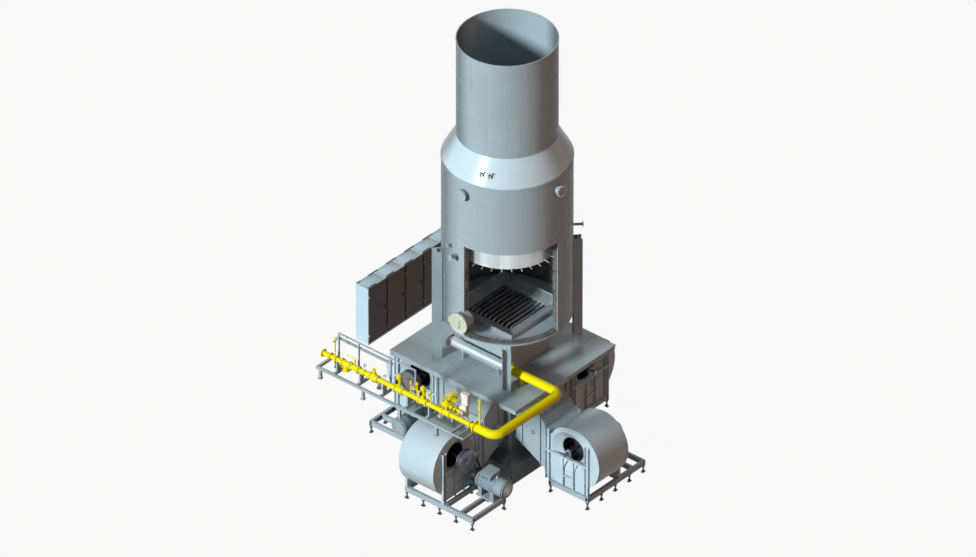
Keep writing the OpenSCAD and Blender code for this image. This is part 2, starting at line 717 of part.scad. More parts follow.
module pulley(r, r0) {
  difference() {
    cylinder(r = r, h = pulley_w, $fn = 144);
    for (i = [0:belts - 1]) translate([0, 0, belt_z(i) - 14]) difference() {
      cylinder(r = r + 5, h = 28, $fn = 144);
      translate([0, 0, -eps]) cylinder(r = r - groove, h = 30 + eps, $fn = 144);
    }
    translate([0, 0, pulley_w - 40]) ring(r - 60, r0 + 60, 50);
    translate([0, 0, -10]) ring(r - 60, r0 + 60, 50);
  }
}
module motor_rotor(k) color(dark) rotate(-90 * k)
  translate([0, -shaft_y + motor_y, shaft_z - motor_drop]) along_x() {
    translate([0, 0, pulley_x - 10]) cylinder(r = motor_shaft_r, h = pulley_w + 270, $fn = 72);
    translate([0, 0, pulley_x]) pulley(motor_pulley_r, motor_shaft_r - 5);
  }
// Closed line of a belt round both pulleys, d above the grooves' floors: an arc
// on each pulley, with its corners pushed out so that no chord cuts the pulley
belt_steps = 18;
function belt_arc(r, a, sweep) = [for (i = [0:belt_steps])
  polar(r / cos(sweep / belt_steps / 2), a + i * sweep / belt_steps)];
function belt_line(d) = let(
    r1 = pulley_r - groove + d,
    r2 = motor_pulley_r - groove + d,
    far = [motor_y, -motor_drop],
    away = atan2(-motor_drop, motor_y),
    lean = acos((r1 - r2) / norm(far)))
  concat(belt_arc(r1, away + lean, 360 - 2 * lean),
    [for (p = belt_arc(r2, away - lean, 2 * lean)) far + p]);
module drive_belts() color(dark) {
  for (k = [0:3]) rotate(-90 * k) for (i = [0:belts - 1])
    translate([pulley_x + belt_z(i), -shaft_y, shaft_z]) yz_extrude(belt_w) difference() {
      polygon(belt_line(groove - 1));
      polygon(belt_line(0.6));
    }
}
module bearing_blocks() color(dark) {
  for (k = [0:3]) rotate(-90 * k) for (s = [-1, 1])
    translate([s * (casing_half + post_t / 2), -shaft_y, shaft_z]) difference() {
      union() {
        translate([-35, 0, 0]) rod_x(shaft_r + 50, 70);
        translate([-35, -shaft_r - 50, split_z + 50 - shaft_z + seat])
          cube([70, 2 * shaft_r + 100, shaft_z - split_z - 50]);
        translate([-40, -190, split_z + 50 - shaft_z + seat]) cube([80, 380, 30]);
      }
      translate([-100, 0, 0]) rod_x(shaft_r + run, 200);
    }
}
module fan_motors() color(steel) {
  fins = 24;
  for (k = [0:3]) rotate(-90 * k)
    translate([motor_x0, -shaft_y + motor_y, shaft_z - motor_drop]) difference() {
      union() {
        rod_x(motor_r - 35, motor_l - 250);
        for (i = [0:fins - 1]) rotate([(i + 0.5) * 360 / fins, 0, 0])
          translate([50, -4, motor_r - 60]) cube([motor_l - 380, 8, 60]);
        rod_x(motor_r + 8, 60);
        translate([motor_l - 340, 0, 0]) rod_x(motor_r + 30, 300);
        translate([motor_l - 45, 0, 0]) rod_x(motor_r - 10, 45);
        translate([180, -230, motor_r - 70]) cube([420, 460, 150]);
        motor_feet();
      }
      translate([-eps, 0, 0]) rod_x(motor_shaft_r + run, 220);
      translate([motor_l - 12, 0, 0]) rod_x(motor_r - 90, 20);
    }
}
module motor_feet() {
  drop = shaft_z - motor_drop - skid_z - 40 - seat;
  for (x = [120, motor_l - 520]) for (s = [-1, 1])
    translate([x, s > 0 ? 120 : -300, -drop]) cube([160, 180, drop - 100]);
}

// Fan skids and vibration mounts
cross_x = [0, 1640, 2320, skid_l - rail_w];
module fan_skids() color(steel) {
  for (k = [0:3]) rotate(-90 * k) {
    translate([skid_x0, skid_y0, mount_h]) {
      for (y = [0, skid_w - rail_w]) translate([0, y, 0]) difference() {
        cube([skid_l, rail_w, rail_h]);
        translate([-eps, y > 0 ? -eps : 15, 15])
          cube([skid_l + 2 * eps, rail_w - 15 + eps, rail_h - 30]);
      }
      for (x = cross_x) translate([x, rail_w + seat, 20])
        cube([rail_w, skid_w - 2 * (rail_w + seat), rail_h - 20]);
    }
    translate([motor_x0 + 60, -shaft_y + motor_y - 340, skid_z + seat])
      cube([motor_l - 380, 680, 40 - seat]);
  }
}
module vibration_mounts() color(dark) {
  step = (skid_l - rail_w) / (mounts_row - 1);
  for (k = [0:3]) rotate(-90 * k) for (y = [skid_y0 + rail_w / 2, skid_y1 - rail_w / 2])
    for (i = [0:mounts_row - 1])
      translate([skid_x0 + rail_w / 2 + i * step, y, 0]) {
        translate([-75, -50, 0]) cube([150, 100, 18]);
        translate([0, 0, 17]) cylinder(r = 42, h = 62, $fn = 48);
        translate([0, 0, 78]) cylinder(r = 26, h = mount_h - 170, $fn = 48);
        translate([0, 0, mount_h - 93]) cylinder(r = 46, h = 76, $fn = 48);
        translate([-55, -45, mount_h - 18 - seat]) cube([110, 90, 18]);
      }
}

// Gas main and gas train
module gas_main() color(yellow) {
  y_end = -header_half + 250;
  translate([-header_x, 0, gas_z]) {
    translate([0, -cross_y + bend_r, 0]) rod_y(main_r, cross_y - bend_r + y_end - 30);
    translate([0, y_end - 30 - seat, 0]) rod_y(main_r + 70, 30);
  }
  translate([-header_x, -cross_y + bend_r, gas_z]) rotate(-90) main_bend();
  translate([-train_x + bend_r, -cross_y, gas_z]) rod_x(main_r, train_x - header_x - 2 * bend_r);
  translate([-train_x + bend_r, -cross_y, gas_z]) rotate(180) main_bend();
  translate([-train_x, -cross_y + bend_r, gas_z]) rod_y(main_r, cross_y - bend_r - train_y0 - 250);
  translate([-train_x, -train_y0 - 250, gas_z]) {
    rod_y(main_r + 65, 28);
    along_y() cylinder(r1 = main_r, r2 = train_r, h = 250 - 28, $fn = 96);
    translate([0, 222 - seat, 0]) rod_y(train_r + 50, 28);
  }
  translate([-header_x - 10, -1700, gas_z - 330]) rod_z(40, 300);
  translate([-header_x - 10, -1700, gas_z - 345]) rod_z(80, 24);
}
// Quarter bend between two runs of the main, which turns to the right
module main_bend() mirror([0, 1, 0]) bend(bend_r, main_r);
module gate_body(y, r) {
  translate([0, y, 0]) {
    for (y0 = [-valve_half, valve_half - 26]) translate([0, y0, 0]) rod_y(r + 55, 26);
    translate([0, -140, 0]) rod_y(r + 20, 280);
  }
}
module train_pipe() color(yellow) {
  translate([-train_x, 0, gas_z]) {
    difference() {
      union() {
        translate([0, -train_y0, 0]) rod_y(train_r, train_y1 + train_y0);
        translate([0, train_y1 - 28, 0]) along_y() cylinder(r = train_r + 56, h = 28, $fn = 96);
      }
      translate([0, train_y1 - 220, 0]) rod_y(inlet_bore_r, 230);
      for (i = [0:7]) translate([0, train_y1 - 40, 0]) rotate([0, 22.5 + i * 45, 0])
        translate([train_r + 36, 0, 0]) rod_y(9, 50);
      for (y = valve_ys) translate([0, y - valve_half, 0]) rod_y(300, 2 * valve_half);
    }
    for (y = [3765, 3505]) translate([0, y, 0]) rod_y(train_r + 50, 26);
    translate([0, 2290, 0]) rod_y(train_r + 22, 120);
  }
  // Branch to the second control valve
  translate([-train_x + 330, -1700, gas_z]) {
    difference() {
      rod_y(train_r - 20, 900);
      translate([0, 290, 0]) rod_y(300, 320);
    }
    for (y = [60, 840]) translate([-330, y, 0]) rod_x(train_r - 20, 330);
  }
}
module strainer() color(yellow) translate([-train_x, strainer_y, gas_z]) {
  gate_body(0, train_r);
  translate([0, 0, -250]) rod_z(105, 250);
  translate([0, 0, -262]) rod_z(135, 30);
}
module shutoff_valves() color(yellow) translate([-train_x, 0, gas_z]) {
  gate_body(isolating_y, train_r);
  translate([0, isolating_y, 60]) difference() {
    rod_z(30, 250);
    translate([0, 0, 170]) rod_z(12 + run, 100);
  }
  gate_body(regulator_y, train_r);
  translate([0, regulator_y, -170]) cylinder(r1 = 60, r2 = regulator_r, h = 170, $fn = 96);
  translate([0, regulator_y, -1]) cylinder(r1 = regulator_r, r2 = 90, h = 160, $fn = 96);
  translate([0, regulator_y, 150]) rod_z(55, 190);
  for (y = shutoff_ys) {
    gate_body(y, train_r);
    translate([0, y, 60]) rod_z(50, 150);
    translate([0, y, 200]) rod_z(90, 340);
    translate([0, y, 539]) rod_z(60, 50);
  }
}
cv_x = [-train_x, -train_x + 330];
cv_wheel = 640;
module control_valves() color(yellow) for (i = [0, 1]) translate([cv_x[i], control_y, gas_z]) {
  gate_body(0, i == 0 ? train_r : train_r - 20);
  difference() {
    union() {
      translate([0, 0, 60]) rod_z(34, 440);
      translate([0, 0, 300]) cylinder(r1 = 60, r2 = 175, h = 70, $fn = 96);
      translate([0, 0, 369]) cylinder(r = 195, h = 24, $fn = 96);
      translate([0, 0, 392]) cylinder(r1 = 175, r2 = 60, h = 70, $fn = 96);
      translate([0, 0, 461]) rod_z(30, cv_wheel - 461 - 16);
    }
    translate([0, 0, cv_wheel - 130]) rod_z(10 + run, 300);
  }
}
module handwheel(i) color(yellow) translate([cv_x[i], control_y, gas_z + cv_wheel]) {
  rotate_extrude($fn = 96) translate([130, 0]) circle(r = 12, $fn = 32);
  translate([0, 0, -14]) rod_z(26, 28);
  translate([0, 0, -120]) rod_z(10, 120);
  for (a = [0, 60, 120]) rotate(a) translate([-130, 0, 0]) rod_x(8, 260);
}
module isolating_lever() color(yellow) translate([-train_x, isolating_y, gas_z + 310 + seat]) {
  rod_z(30, 40);
  translate([0, 0, -60]) rod_z(12, 61);
  translate([-18, -20, 38]) cube([36, 380, 16]);
  translate([0, 200, 46]) rod_y(17, 170);
}
module vent_lines() color(yellow) {
  for (p = [[3590, 800], [290, 560], [20, 620], [-560, 520]]) translate([-train_x, p[0], gas_z]) {
    difference() {
      rod_z(24, p[1]);
      translate([0, -100, 0]) rod_y(train_r + seat, 200);
    }
    translate([0, 0, p[1] - 120]) rod_z(44, 70);
    translate([-60, 0, p[1] - 85]) rod_x(14, 120);
    translate([0, 0, p[1] - 1]) rod_z(34, 20);
  }
  translate([-train_x, -540, gas_z + 330]) difference() {
    rod_y(18, 810);
    translate([0, 210, 0]) rod_y(40, 190);
  }
  translate([-train_x, -2700, gas_z]) difference() {
    union() {
      rod_z(36, 1160);
      translate([0, 0, 1159]) rod_z(60, 40);
      translate([0, 0, 800]) rod_z(58, 90);
    }
    translate([0, -100, 0]) rod_y(main_r + seat, 200);
  }
}

// Skid of the gas train with its pipe supports and cable tray
ts_x0 = -train_x - 310;
ts_y0 = -1730;
ts_y1 = train_y1 + 60;
module train_skid() color(steel) {
  b = tskid_bar;
  foot_t = 15;
  post = 50;
  step_w = tskid_w - 200;
  step_l = 520;
  x1 = ts_x0 + tskid_w;
  for (x = [ts_x0, x1 - b]) {
    translate([x, ts_y0, deck_z - b]) cube([b, ts_y1 - ts_y0, b]);
    for (y = [-1100, 500, 2100, 3960]) translate([x, y, deck_z - b - tskid_leg]) {
      translate([0, 0, foot_t + seat]) cube([b, b, tskid_leg - foot_t - 2 * seat]);
      translate([-30, -30, 0]) cube([b + 60, b + 60, foot_t]);
    }
  }
  for (y = [ts_y0, -600, 330, 1400, 2400, 3400, ts_y1 - b])
    translate([ts_x0 + b + seat, y, deck_z - b]) cube([tskid_w - 2 * (b + seat), b, b]);
  for (y = [-600, 330, 1400, 2400, 3400]) translate([-train_x, y + b / 2, deck_z + seat]) difference() {
    translate([-100, -30, 0]) cube([200, 60, gas_h - seat]);
    translate([0, -60, gas_h - seat]) rod_y(train_r + seat, 120);
  }
  for (y = [3880, 3010, 1620, 540]) translate([x1 - post - 10, y, deck_z + seat])
    cube([post, post, tray_post - seat]);
  translate([x1 - post - 10, 540, deck_z + tray_post + seat]) cube([post, 3390, 40]);
  translate([x1 - 10 + seat, 1640, deck_z + 700]) cube([90, 2400, 60]);
  // End step
  for (x = [ts_x0, ts_x0 + step_w - post]) translate([x, ts_y0 - step_l, deck_z - b])
    cube([post, step_l - seat, post]);
  for (y = [ts_y0 - step_l / 2, ts_y0 - step_l]) translate([ts_x0 + post + seat, y, deck_z - b])
    cube([step_w - 2 * (post + seat), post, post]);
}
module junction_boxes() color(pale) {
  x1 = ts_x0 + tskid_w - tskid_bar / 2;
  for (p = [[-105, 220], [-25, 600]]) translate([x1 + p[0], -1720, deck_z + p[1]]) {
    cube([160, 300, 420]);
    translate([-8, 12, 12]) cube([10, 276, 396]);
  }
  for (y = [-1700, -1480]) translate([x1, y, deck_z + seat]) cube([50, 50, 900]);
}

// Control cabinets: a row on its own plinth, each with a front door
module control_cabinets() color(steel) {
  wall = 20;
  for (i = [0:cabinets - 1]) translate([cabinet_x + i * cabinet_w, cabinet_y, 0]) {
    difference() {
      translate([seat, 0, 0]) cube([cabinet_w - 2 * seat, cabinet_d, cabinet_h]);
      translate([wall, -eps, cabinet_base + wall])
        cube([cabinet_w - 2 * wall, cabinet_d - wall, cabinet_h - cabinet_base - 2 * wall]);
      translate([60, 60, cabinet_h - 12]) cube([cabinet_w - 120, cabinet_d - 120, 20]);
    }
    translate([wall + 2, cabinet_d - wall - 30, cabinet_base + 120])
      cube([cabinet_w - 2 * wall - 4, 12, cabinet_h - 400]);
    for (z = [0.2, 0.8]) translate([wall - 1, cabinet_d - wall - 31, z * cabinet_h])
      cube([cabinet_w - 2 * wall + 2, 32, 40]);
    for (z = hinge_zs) translate([hinge_dx, -door_t - 20, z - 60]) difference() {
      union() {
        rod_z(14, 50);
        translate([-6, 0, 0]) cube([12, door_t + 20 + 5, 50]);
      }
      translate([0, 0, -eps]) rod_z(6 + run, 60);
    }
  }
}
door_t = 25;
hinge_dx = 12;
hinge_zs = [cabinet_base + 300, cabinet_h - 300];
module cabinet_door(i) color(dark) translate([cabinet_x + (i - 1) * cabinet_w, cabinet_y, 0]) {
  translate([30, -door_t - 3, cabinet_base + 5])
    cube([cabinet_w - 45, door_t, cabinet_h - cabinet_base - 10]);
  for (z = hinge_zs) translate([hinge_dx, -door_t - 20, z]) {
    rod_z(14, 50);
    translate([0, 0, -60]) rod_z(6, 62);
    translate([0, -6, 0]) cube([40, 24, 50]);
  }
  translate([cabinet_w - 90, -door_t - 30, cabinet_h / 2 - 90]) cube([26, 30, 180]);
}

exhaust_stack();
transition_cone();
outer_shell();
chamber_lining();
inner_liner();
chamber_floor();
burner_tray();
gas_lances();
gas_header();
neck_box();
deck_plate();
support_columns();
column_brackets();
manhole_neck();
manhole_cover();
inspection_ports();
shell_nozzles();
air_hopper();
air_ducts();
fan_motors();
fan_skids();
vibration_mounts();
bearing_blocks();
drive_belts();
damper(0);  // damper_1
damper(1);  // damper_2
damper(2);  // damper_3
damper(3);  // damper_4
fan_casing(0);  // fan_casing_1
fan_casing(1);  // fan_casing_2
fan_casing(2);  // fan_casing_3
fan_casing(3);  // fan_casing_4
fan_rotor(0);  // fan_rotor_1
fan_rotor(1);  // fan_rotor_2
fan_rotor(2);  // fan_rotor_3
fan_rotor(3);  // fan_rotor_4
motor_rotor(0);  // motor_rotor_1
motor_rotor(1);  // motor_rotor_2
motor_rotor(2);  // motor_rotor_3
motor_rotor(3);  // motor_rotor_4
gas_main();
train_pipe();
strainer();
shutoff_valves();
control_valves();
handwheel(0);  // handwheel_1
handwheel(1);  // handwheel_2
isolating_lever();
vent_lines();
train_skid();
junction_boxes();
control_cabinets();
cabinet_door(1);  // cabinet_door_1
cabinet_door(2);  // cabinet_door_2
cabinet_door(3);  // cabinet_door_3
cabinet_door(4);  // cabinet_door_4
cabinet_door(5);  // cabinet_door_5
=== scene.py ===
# %% [markdown]
# A gas combustion unit, dressed for its portrait
#
# The object burns surplus gas on board a gas carrier: fans at the foot push
# air through a hopper into a round chamber, and a stack carries the flame's
# exhaust away. The steel frame of the model comes ready made, in metres. This
# lesson gives every plate its paint and adds the small things that a welder,
# a pipe fitter and an electrician leave behind: seams, nuts, gauges, grilles.

# %% Load the frame
import json
import math

import bmesh
import bpy
import numpy as np
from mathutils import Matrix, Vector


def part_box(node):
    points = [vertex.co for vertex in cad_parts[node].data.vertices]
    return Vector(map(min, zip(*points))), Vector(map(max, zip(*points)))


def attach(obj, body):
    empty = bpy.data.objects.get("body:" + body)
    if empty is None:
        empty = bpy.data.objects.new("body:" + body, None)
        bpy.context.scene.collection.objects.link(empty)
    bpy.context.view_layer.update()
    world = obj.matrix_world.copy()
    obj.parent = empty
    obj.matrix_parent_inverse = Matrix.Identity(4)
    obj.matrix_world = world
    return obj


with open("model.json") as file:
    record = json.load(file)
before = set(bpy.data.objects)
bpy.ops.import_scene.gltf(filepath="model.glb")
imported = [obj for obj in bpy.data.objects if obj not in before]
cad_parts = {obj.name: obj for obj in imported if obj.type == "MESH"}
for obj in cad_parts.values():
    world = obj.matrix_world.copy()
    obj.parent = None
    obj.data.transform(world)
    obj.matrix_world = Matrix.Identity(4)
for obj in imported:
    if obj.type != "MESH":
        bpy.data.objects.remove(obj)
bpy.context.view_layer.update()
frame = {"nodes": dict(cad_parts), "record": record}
NODES = frame["nodes"]

# %% [markdown]
# The camera
#
# The picture is nearly free of perspective, so a very long lens stands far
# away. Three numbers fix such a view: where it looks from, the point on the
# object that lands in the middle of the picture, and how many pixels a metre
# takes. The lens then follows from the distance.

# %% Camera
PHOTO_W = 976
PIXELS_PER_M = 30.303
AZIMUTH, ELEVATION = -49.4, 34.48
AIM = np.array([-0.413, 0.482, 6.976])
DISTANCE = 800.0
SENSOR_MM = 36.0
CAMERA_CLIP = 4000


def look_back(azimuth, elevation):
    """Unit vector from the object to the camera: azimuth 0 stands on the -Y side."""
    a, e = math.radians(azimuth), math.radians(elevation)
    return np.array([math.sin(a) * math.cos(e), -math.cos(a) * math.cos(e), math.sin(e)])


camera = bpy.data.objects.new("camera", bpy.data.cameras.new("camera"))
bpy.context.scene.collection.objects.link(camera)
back = look_back(AZIMUTH, ELEVATION)
camera.location = AIM + DISTANCE * back
camera.rotation_mode = "QUATERNION"
camera.rotation_quaternion = Vector(-back).to_track_quat("-Z", "Y")
camera.data.sensor_width = SENSOR_MM
camera.data.lens = PIXELS_PER_M * DISTANCE * SENSOR_MM / PHOTO_W
camera.data.clip_end = CAMERA_CLIP
bpy.context.scene.camera = camera
bpy.context.scene.view_settings.view_transform = "Standard"
print("lens", round(camera.data.lens, 1), "mm")

# %% [markdown]
# Light and floor
#
# Painted steel shows its form by the light that falls on it. A cool lamp
# stands low on the left, so plates that face left are pale blue, tops are a
# middle grey, and plates that face right fall into a warm brown shade. The
# floor and the world are white only to the camera and to reflections; what
# they give to the object as light stays low.

# %% Lamps
# name: where the light comes from, its colour, its power and its softness in degrees
LAMPS = {
    "key": ((-0.915, 0.110, 0.375), (0.86, 0.97, 1.0), 3.5, 10),
    "sky": ((-0.15, 0.10, 0.95), (0.93, 0.97, 1.0), 0.36, 60),
    "warm": ((0.20, -0.95, 0.18), (1.0, 0.42, 0.20), 0.42, 40),
    "rim": ((0.75, 0.65, 0.35), (1.0, 0.80, 0.68), 0.5, 40),
}


def sun(name, source, colour, power, soft):
    """A far lamp: its light comes from one direction and softens over an angle."""
    lamp = bpy.data.lights.new(name, "SUN")
    lamp.energy = power
    lamp.color = colour
    lamp.angle = math.radians(soft)
    holder = bpy.data.objects.new(name, lamp)
    holder.rotation_mode = "QUATERNION"
    holder.rotation_quaternion = Vector(source).to_track_quat("Z", "Y")
    bpy.context.scene.collection.objects.link(holder)


for lamp_name, lamp_facts in LAMPS.items():
    sun(lamp_name, *lamp_facts)

# %% Small helpers for node trees


def fill(tree, node, *numbered, **named):
    """Sets a node's settings by attribute and its inputs by place or name; sockets are linked."""
    inputs = list(enumerate(numbered))
    for key, value in named.items():
        if hasattr(node, key):
            setattr(node, key, value)
        else:
            inputs.append((key.replace("_", " "), value))
    for place, value in inputs:
        if isinstance(value, bpy.types.NodeSocket):
            tree.links.new(value, node.inputs[place])
        else:
            node.inputs[place].default_value = value
    return node


def add_node(tree, kind, *numbered, **named):
    """A new node, filled in the same way."""
    return fill(tree, tree.nodes.new(kind), *numbered, **named)


def seen_directly(tree):
    """1 for rays from the camera, a mirror or a glass, 0 for light on the object."""
    path = add_node(tree, "ShaderNodeLightPath")
    first = add_node(tree, "ShaderNodeMath", path.outputs["Is Camera Ray"],
                     path.outputs["Is Glossy Ray"], operation="MAXIMUM")
    both = add_node(tree, "ShaderNodeMath", first.outputs[0],
                    path.outputs["Is Transmission Ray"], operation="MAXIMUM")
    return both.outputs[0]


# %% World
AMBIENT = (0.62, 0.70, 0.78, 1)
AMBIENT_STRENGTH = 0.09


def make_world():
    """White to the eye, and a dim cool grey as light on the object."""
    world = bpy.data.worlds.new("studio")
    bpy.context.scene.world = world
    world.use_nodes = True
    tree = world.node_tree
    tree.nodes.clear()
    dim = add_node(tree, "ShaderNodeBackground", Color=AMBIENT, Strength=AMBIENT_STRENGTH)
    white = add_node(tree, "ShaderNodeBackground", Color=(1, 1, 1, 1), Strength=1.0)
    mix = add_node(tree, "ShaderNodeMixShader", seen_directly(tree), dim.outputs[0],
                   white.outputs[0])
    add_node(tree, "ShaderNodeOutputWorld", mix.outputs[0])


make_world()

# %% Floor
FLOOR_HALF = 400.0
FLOOR_SHARE_WHITE = 0.94
FLOOR_Z = -0.004
FLOOR_TINT = (0.27, 0.18, 0.13, 1)


def make_floor():
    """A plain sheet just under the feet, nearly white to the camera and with a soft shadow left."""
    material = bpy.data.materials.new("studio_floor")
    material.use_nodes = True
    tree = material.node_tree
    tree.nodes.clear()
    matt = add_node(tree, "ShaderNodeBsdfDiffuse", Color=FLOOR_TINT)
    glow = add_node(tree, "ShaderNodeEmission", Color=(1, 1, 1, 1), Strength=1.0)
    share = add_node(tree, "ShaderNodeMath", seen_directly(tree), FLOOR_SHARE_WHITE,
                     operation="MULTIPLY")
    mix = add_node(tree, "ShaderNodeMixShader", share.outputs[0], matt.outputs[0],
                   glow.outputs[0])
    add_node(tree, "ShaderNodeOutputMaterial", mix.outputs[0])
    mesh = bpy.data.meshes.new("floor")
    h, z = FLOOR_HALF, FLOOR_Z
    mesh.from_pydata([(-h, -h, z), (h, -h, z), (h, h, z), (-h, h, z)], [], [(0, 1, 2, 3)])
    floor = bpy.data.objects.new("floor", mesh)
    mesh.materials.append(material)
    bpy.context.scene.collection.objects.link(floor)


make_floor()

# %% [markdown]
# Paint on steel
#
# Sprayed enamel is never one flat colour. Its film is thicker in some places,
# it carries a faint orange peel, dust dulls it in patches, and it thins and
# brightens on the edges that tools and boots knock. One function makes all
# the enamels: noise in the object's own coordinates drives the colour and the
# roughness, and the bevel trick finds the edges, because a rounded normal
# differs from the flat one only there.

# %% Materials: the shared paint


def ramp(tree, source, low, high, dark, light):
    """Maps a factor between two stops to two colours."""
    node = add_node(tree, "ShaderNodeValToRGB", source)
    stops = node.color_ramp.elements
    stops[0].position, stops[0].color = low, (*dark, 1)
    stops[1].position, stops[1].color = high, (*light, 1)
    return node.outputs[0]


def grey_ramp(tree, source, low, high, at_low, at_high):
    """The same for one number: linear between two stops and flat outside."""
    return add_node(tree, "ShaderNodeMapRange", Value=source, From_Min=low, From_Max=high,
                    To_Min=at_low, To_Max=at_high).outputs[0]


def mix_colour(tree, share, first, second):
    """first where share is 0 and second where it is 1; each is a socket or a colour."""
    node = add_node(tree, "ShaderNodeMix", share, data_type="RGBA")
    for place, value in ((6, first), (7, second)):
        if isinstance(value, tuple):
            node.inputs[place].default_value = (*value, 1)
        else:
            tree.links.new(value, node.inputs[place])
    return node.outputs[2]


def noise(tree, coords, scale, detail=3.0, rough=0.55, distortion=0.0):
    return add_node(tree, "ShaderNodeTexNoise", Vector=coords, Scale=scale, Detail=detail,
                    Roughness=rough, Distortion=distortion).outputs["Fac"]


def stretched(tree, coords, scale):
    """Coordinates squeezed or drawn out along the axes, for grain and runs."""
    return add_node(tree, "ShaderNodeMapping", Vector=coords, Scale=scale).outputs[0]


def edge_mask(tree, radius):
    """0 on flat plate and up to 1 along sharp edges: one minus the cosine between normals."""
    bevel = add_node(tree, "ShaderNodeBevel", samples=4, Radius=radius)
    flat = add_node(tree, "ShaderNodeNewGeometry")
    dot = add_node(tree, "ShaderNodeVectorMath", bevel.outputs[0], flat.outputs["Normal"],
                   operation="DOT_PRODUCT")
    return grey_ramp(tree, dot.outputs["Value"], 0.98, 0.80, 0.0, 1.0)


def bump(tree, height, strength, distance):
    return add_node(tree, "ShaderNodeBump", Strength=strength, Distance=distance,
                    Height=height).outputs[0]


def new_material(name):
    """An empty material with its shader, its tree and the object's own coordinates."""
    material = bpy.data.materials.new(name)
    material.use_nodes = True
    tree = material.node_tree
    shader = tree.nodes["Principled BSDF"]
    coords = tree.nodes.new("ShaderNodeTexCoord").outputs["Object"]
    return material, tree, shader, coords


def shade(colour, factor):
    return tuple(min(1.0, c * factor) for c in colour)


def clouded(tree, source, colour, spread):
    """A colour that a noise makes darker and lighter by one share."""
    return ramp(tree, source, 0.3, 0.7, shade(colour, 1 - spread), shade(colour, 1 + spread))


def enamel(name, colour, gloss=0.44, coat=0.03, wear=None, dirt=0.5, spread=0.06, limb_shade_share=0.40):
    """Sprayed paint: cloudy tint, dusty patches, rain runs and bright edges.

    Painted shade: its colour drops to the share limb_shade_share where the eye
    meets it at a glancing angle, so the limbs darken as if turned from the light.
    """
    material, tree, shader, coords = new_material(name)
    cloud = noise(tree, coords, 0.7, 4)
    tint = clouded(tree, cloud, colour, spread)
    runs = noise(tree, stretched(tree, coords, (7, 7, 0.35)), 1.0, 5, 0.6)
    soil = grey_ramp(tree, runs, 0.56, 0.80, 0.0, dirt)
    dusty = mix_colour(tree, soil, tint, shade(colour, 0.72))
    worn = mix_colour(tree, edge_mask(tree, 0.006), dusty, wear or shade(colour, 1.22))
    # painted shade: the colour darkens towards the limbs, where the surface turns away from the eye
    glance = tree.nodes.new("ShaderNodeLayerWeight").outputs["Facing"]
    keep = grey_ramp(tree, glance, 0.44, 0.70, 1.0, limb_shade_share)
    fine = noise(tree, coords, 3.2, 4)
    peel = noise(tree, coords, 160, 2)
    fill(tree, shader, Base_Color=mix_colour(tree, keep, (0, 0, 0), worn),
         Roughness=grey_ramp(tree, fine, 0.3, 0.75, gloss - 0.06, gloss + 0.12),
         Normal=bump(tree, peel, 0.05, 0.002), Specular_IOR_Level=0.16, Coat_Weight=coat,
         Coat_Roughness=0.16)
    return material


STEEL_BLUE = (0.40, 0.47, 0.51)
GAS_YELLOW = (0.96, 0.80, 0.0)
CREAM = (0.86, 0.80, 0.76)
# painted shade: the doors' dark brown copies the shade on the cabinets' fronts, which face away
# from the key light
DOOR_SHADE_BROWN = (0.060, 0.042, 0.034)

MATERIALS = {
    "steel_paint": enamel("steel_paint", STEEL_BLUE),
    # painted light: the fan casings wear the steel paint made 1.4 times lighter, for the light on
    # their left-facing scrolls
    "lit_scroll_paint": enamel("lit_scroll_paint", shade(STEEL_BLUE, 1.4), dirt=0.35, limb_shade_share=0.7),
    # painted light: the cone wears the steel paint made 1.55 times lighter, for the light that
    # falls on it
    "lit_cone_paint": enamel("lit_cone_paint", shade(STEEL_BLUE, 1.55), gloss=0.34, coat=0.25, dirt=0.2),
    # painted shade: the hopper wears the steel paint darkened to 0.45, for the shadow that falls on
    # its slopes
    "shaded_hopper_paint": enamel("shaded_hopper_paint", shade(STEEL_BLUE, 0.45), dirt=0.6),
    "cover_paint": enamel("cover_paint", (0.62, 0.63, 0.50), dirt=0.2, limb_shade_share=0.8),
    "cabinet_paint": enamel("cabinet_paint", (0.56, 0.70, 0.77), gloss=0.46, dirt=0.25),
    # painted shade: the doors wear the dark brown that stands in for shade on the cabinet fronts
    "door_paint": enamel("door_paint", DOOR_SHADE_BROWN, gloss=0.46, coat=0.05, wear=(0.2, 0.16, 0.14)),
    "motor_paint": enamel("motor_paint", (0.30, 0.37, 0.41), gloss=0.46, dirt=0.6),
    "yellow_paint": enamel("yellow_paint", GAS_YELLOW, gloss=0.46, coat=0.0,
                           wear=(1.0, 0.90, 0.03), dirt=0.2, spread=0.04, limb_shade_share=0.6),
    "pale_paint": enamel("pale_paint", CREAM, gloss=0.42, coat=0.1, dirt=0.2, limb_shade_share=0.8),
}
print("enamels:", ", ".join(sorted(MATERIALS)))

# %% [markdown]
# Bare metals
#
# Rolled plate and drawn pipe keep the lines of the rollers. Noise squeezed
# along the piece gives those lines; they change the roughness more than the
# colour, which is what makes brushed metal look long and silky. The burner's
# steel has been hot: its oxide runs from straw through violet to black.

# %% Materials: metals


def rolled_metal(name, colour, grain, gloss, metallic=0.9, streak=0.10):
    """Bare plate: fine grain along one axis in roughness, tint and bump."""
    material, tree, shader, coords = new_material(name)
    lines = noise(tree, stretched(tree, coords, grain), 1.0, 6, 0.7)
    broad = noise(tree, stretched(tree, coords, tuple(g * 0.12 for g in grain)), 1.0, 3)
    tint = clouded(tree, broad, colour, streak)
    worn = mix_colour(tree, edge_mask(tree, 0.004), tint, shade(colour, 1.25))
    fill(tree, shader, Base_Color=worn, Metallic=metallic,
         Roughness=grey_ramp(tree, lines, 0.25, 0.75, gloss - 0.08, gloss + 0.14),
         Normal=bump(tree, lines, 0.12, 0.001))
    return material


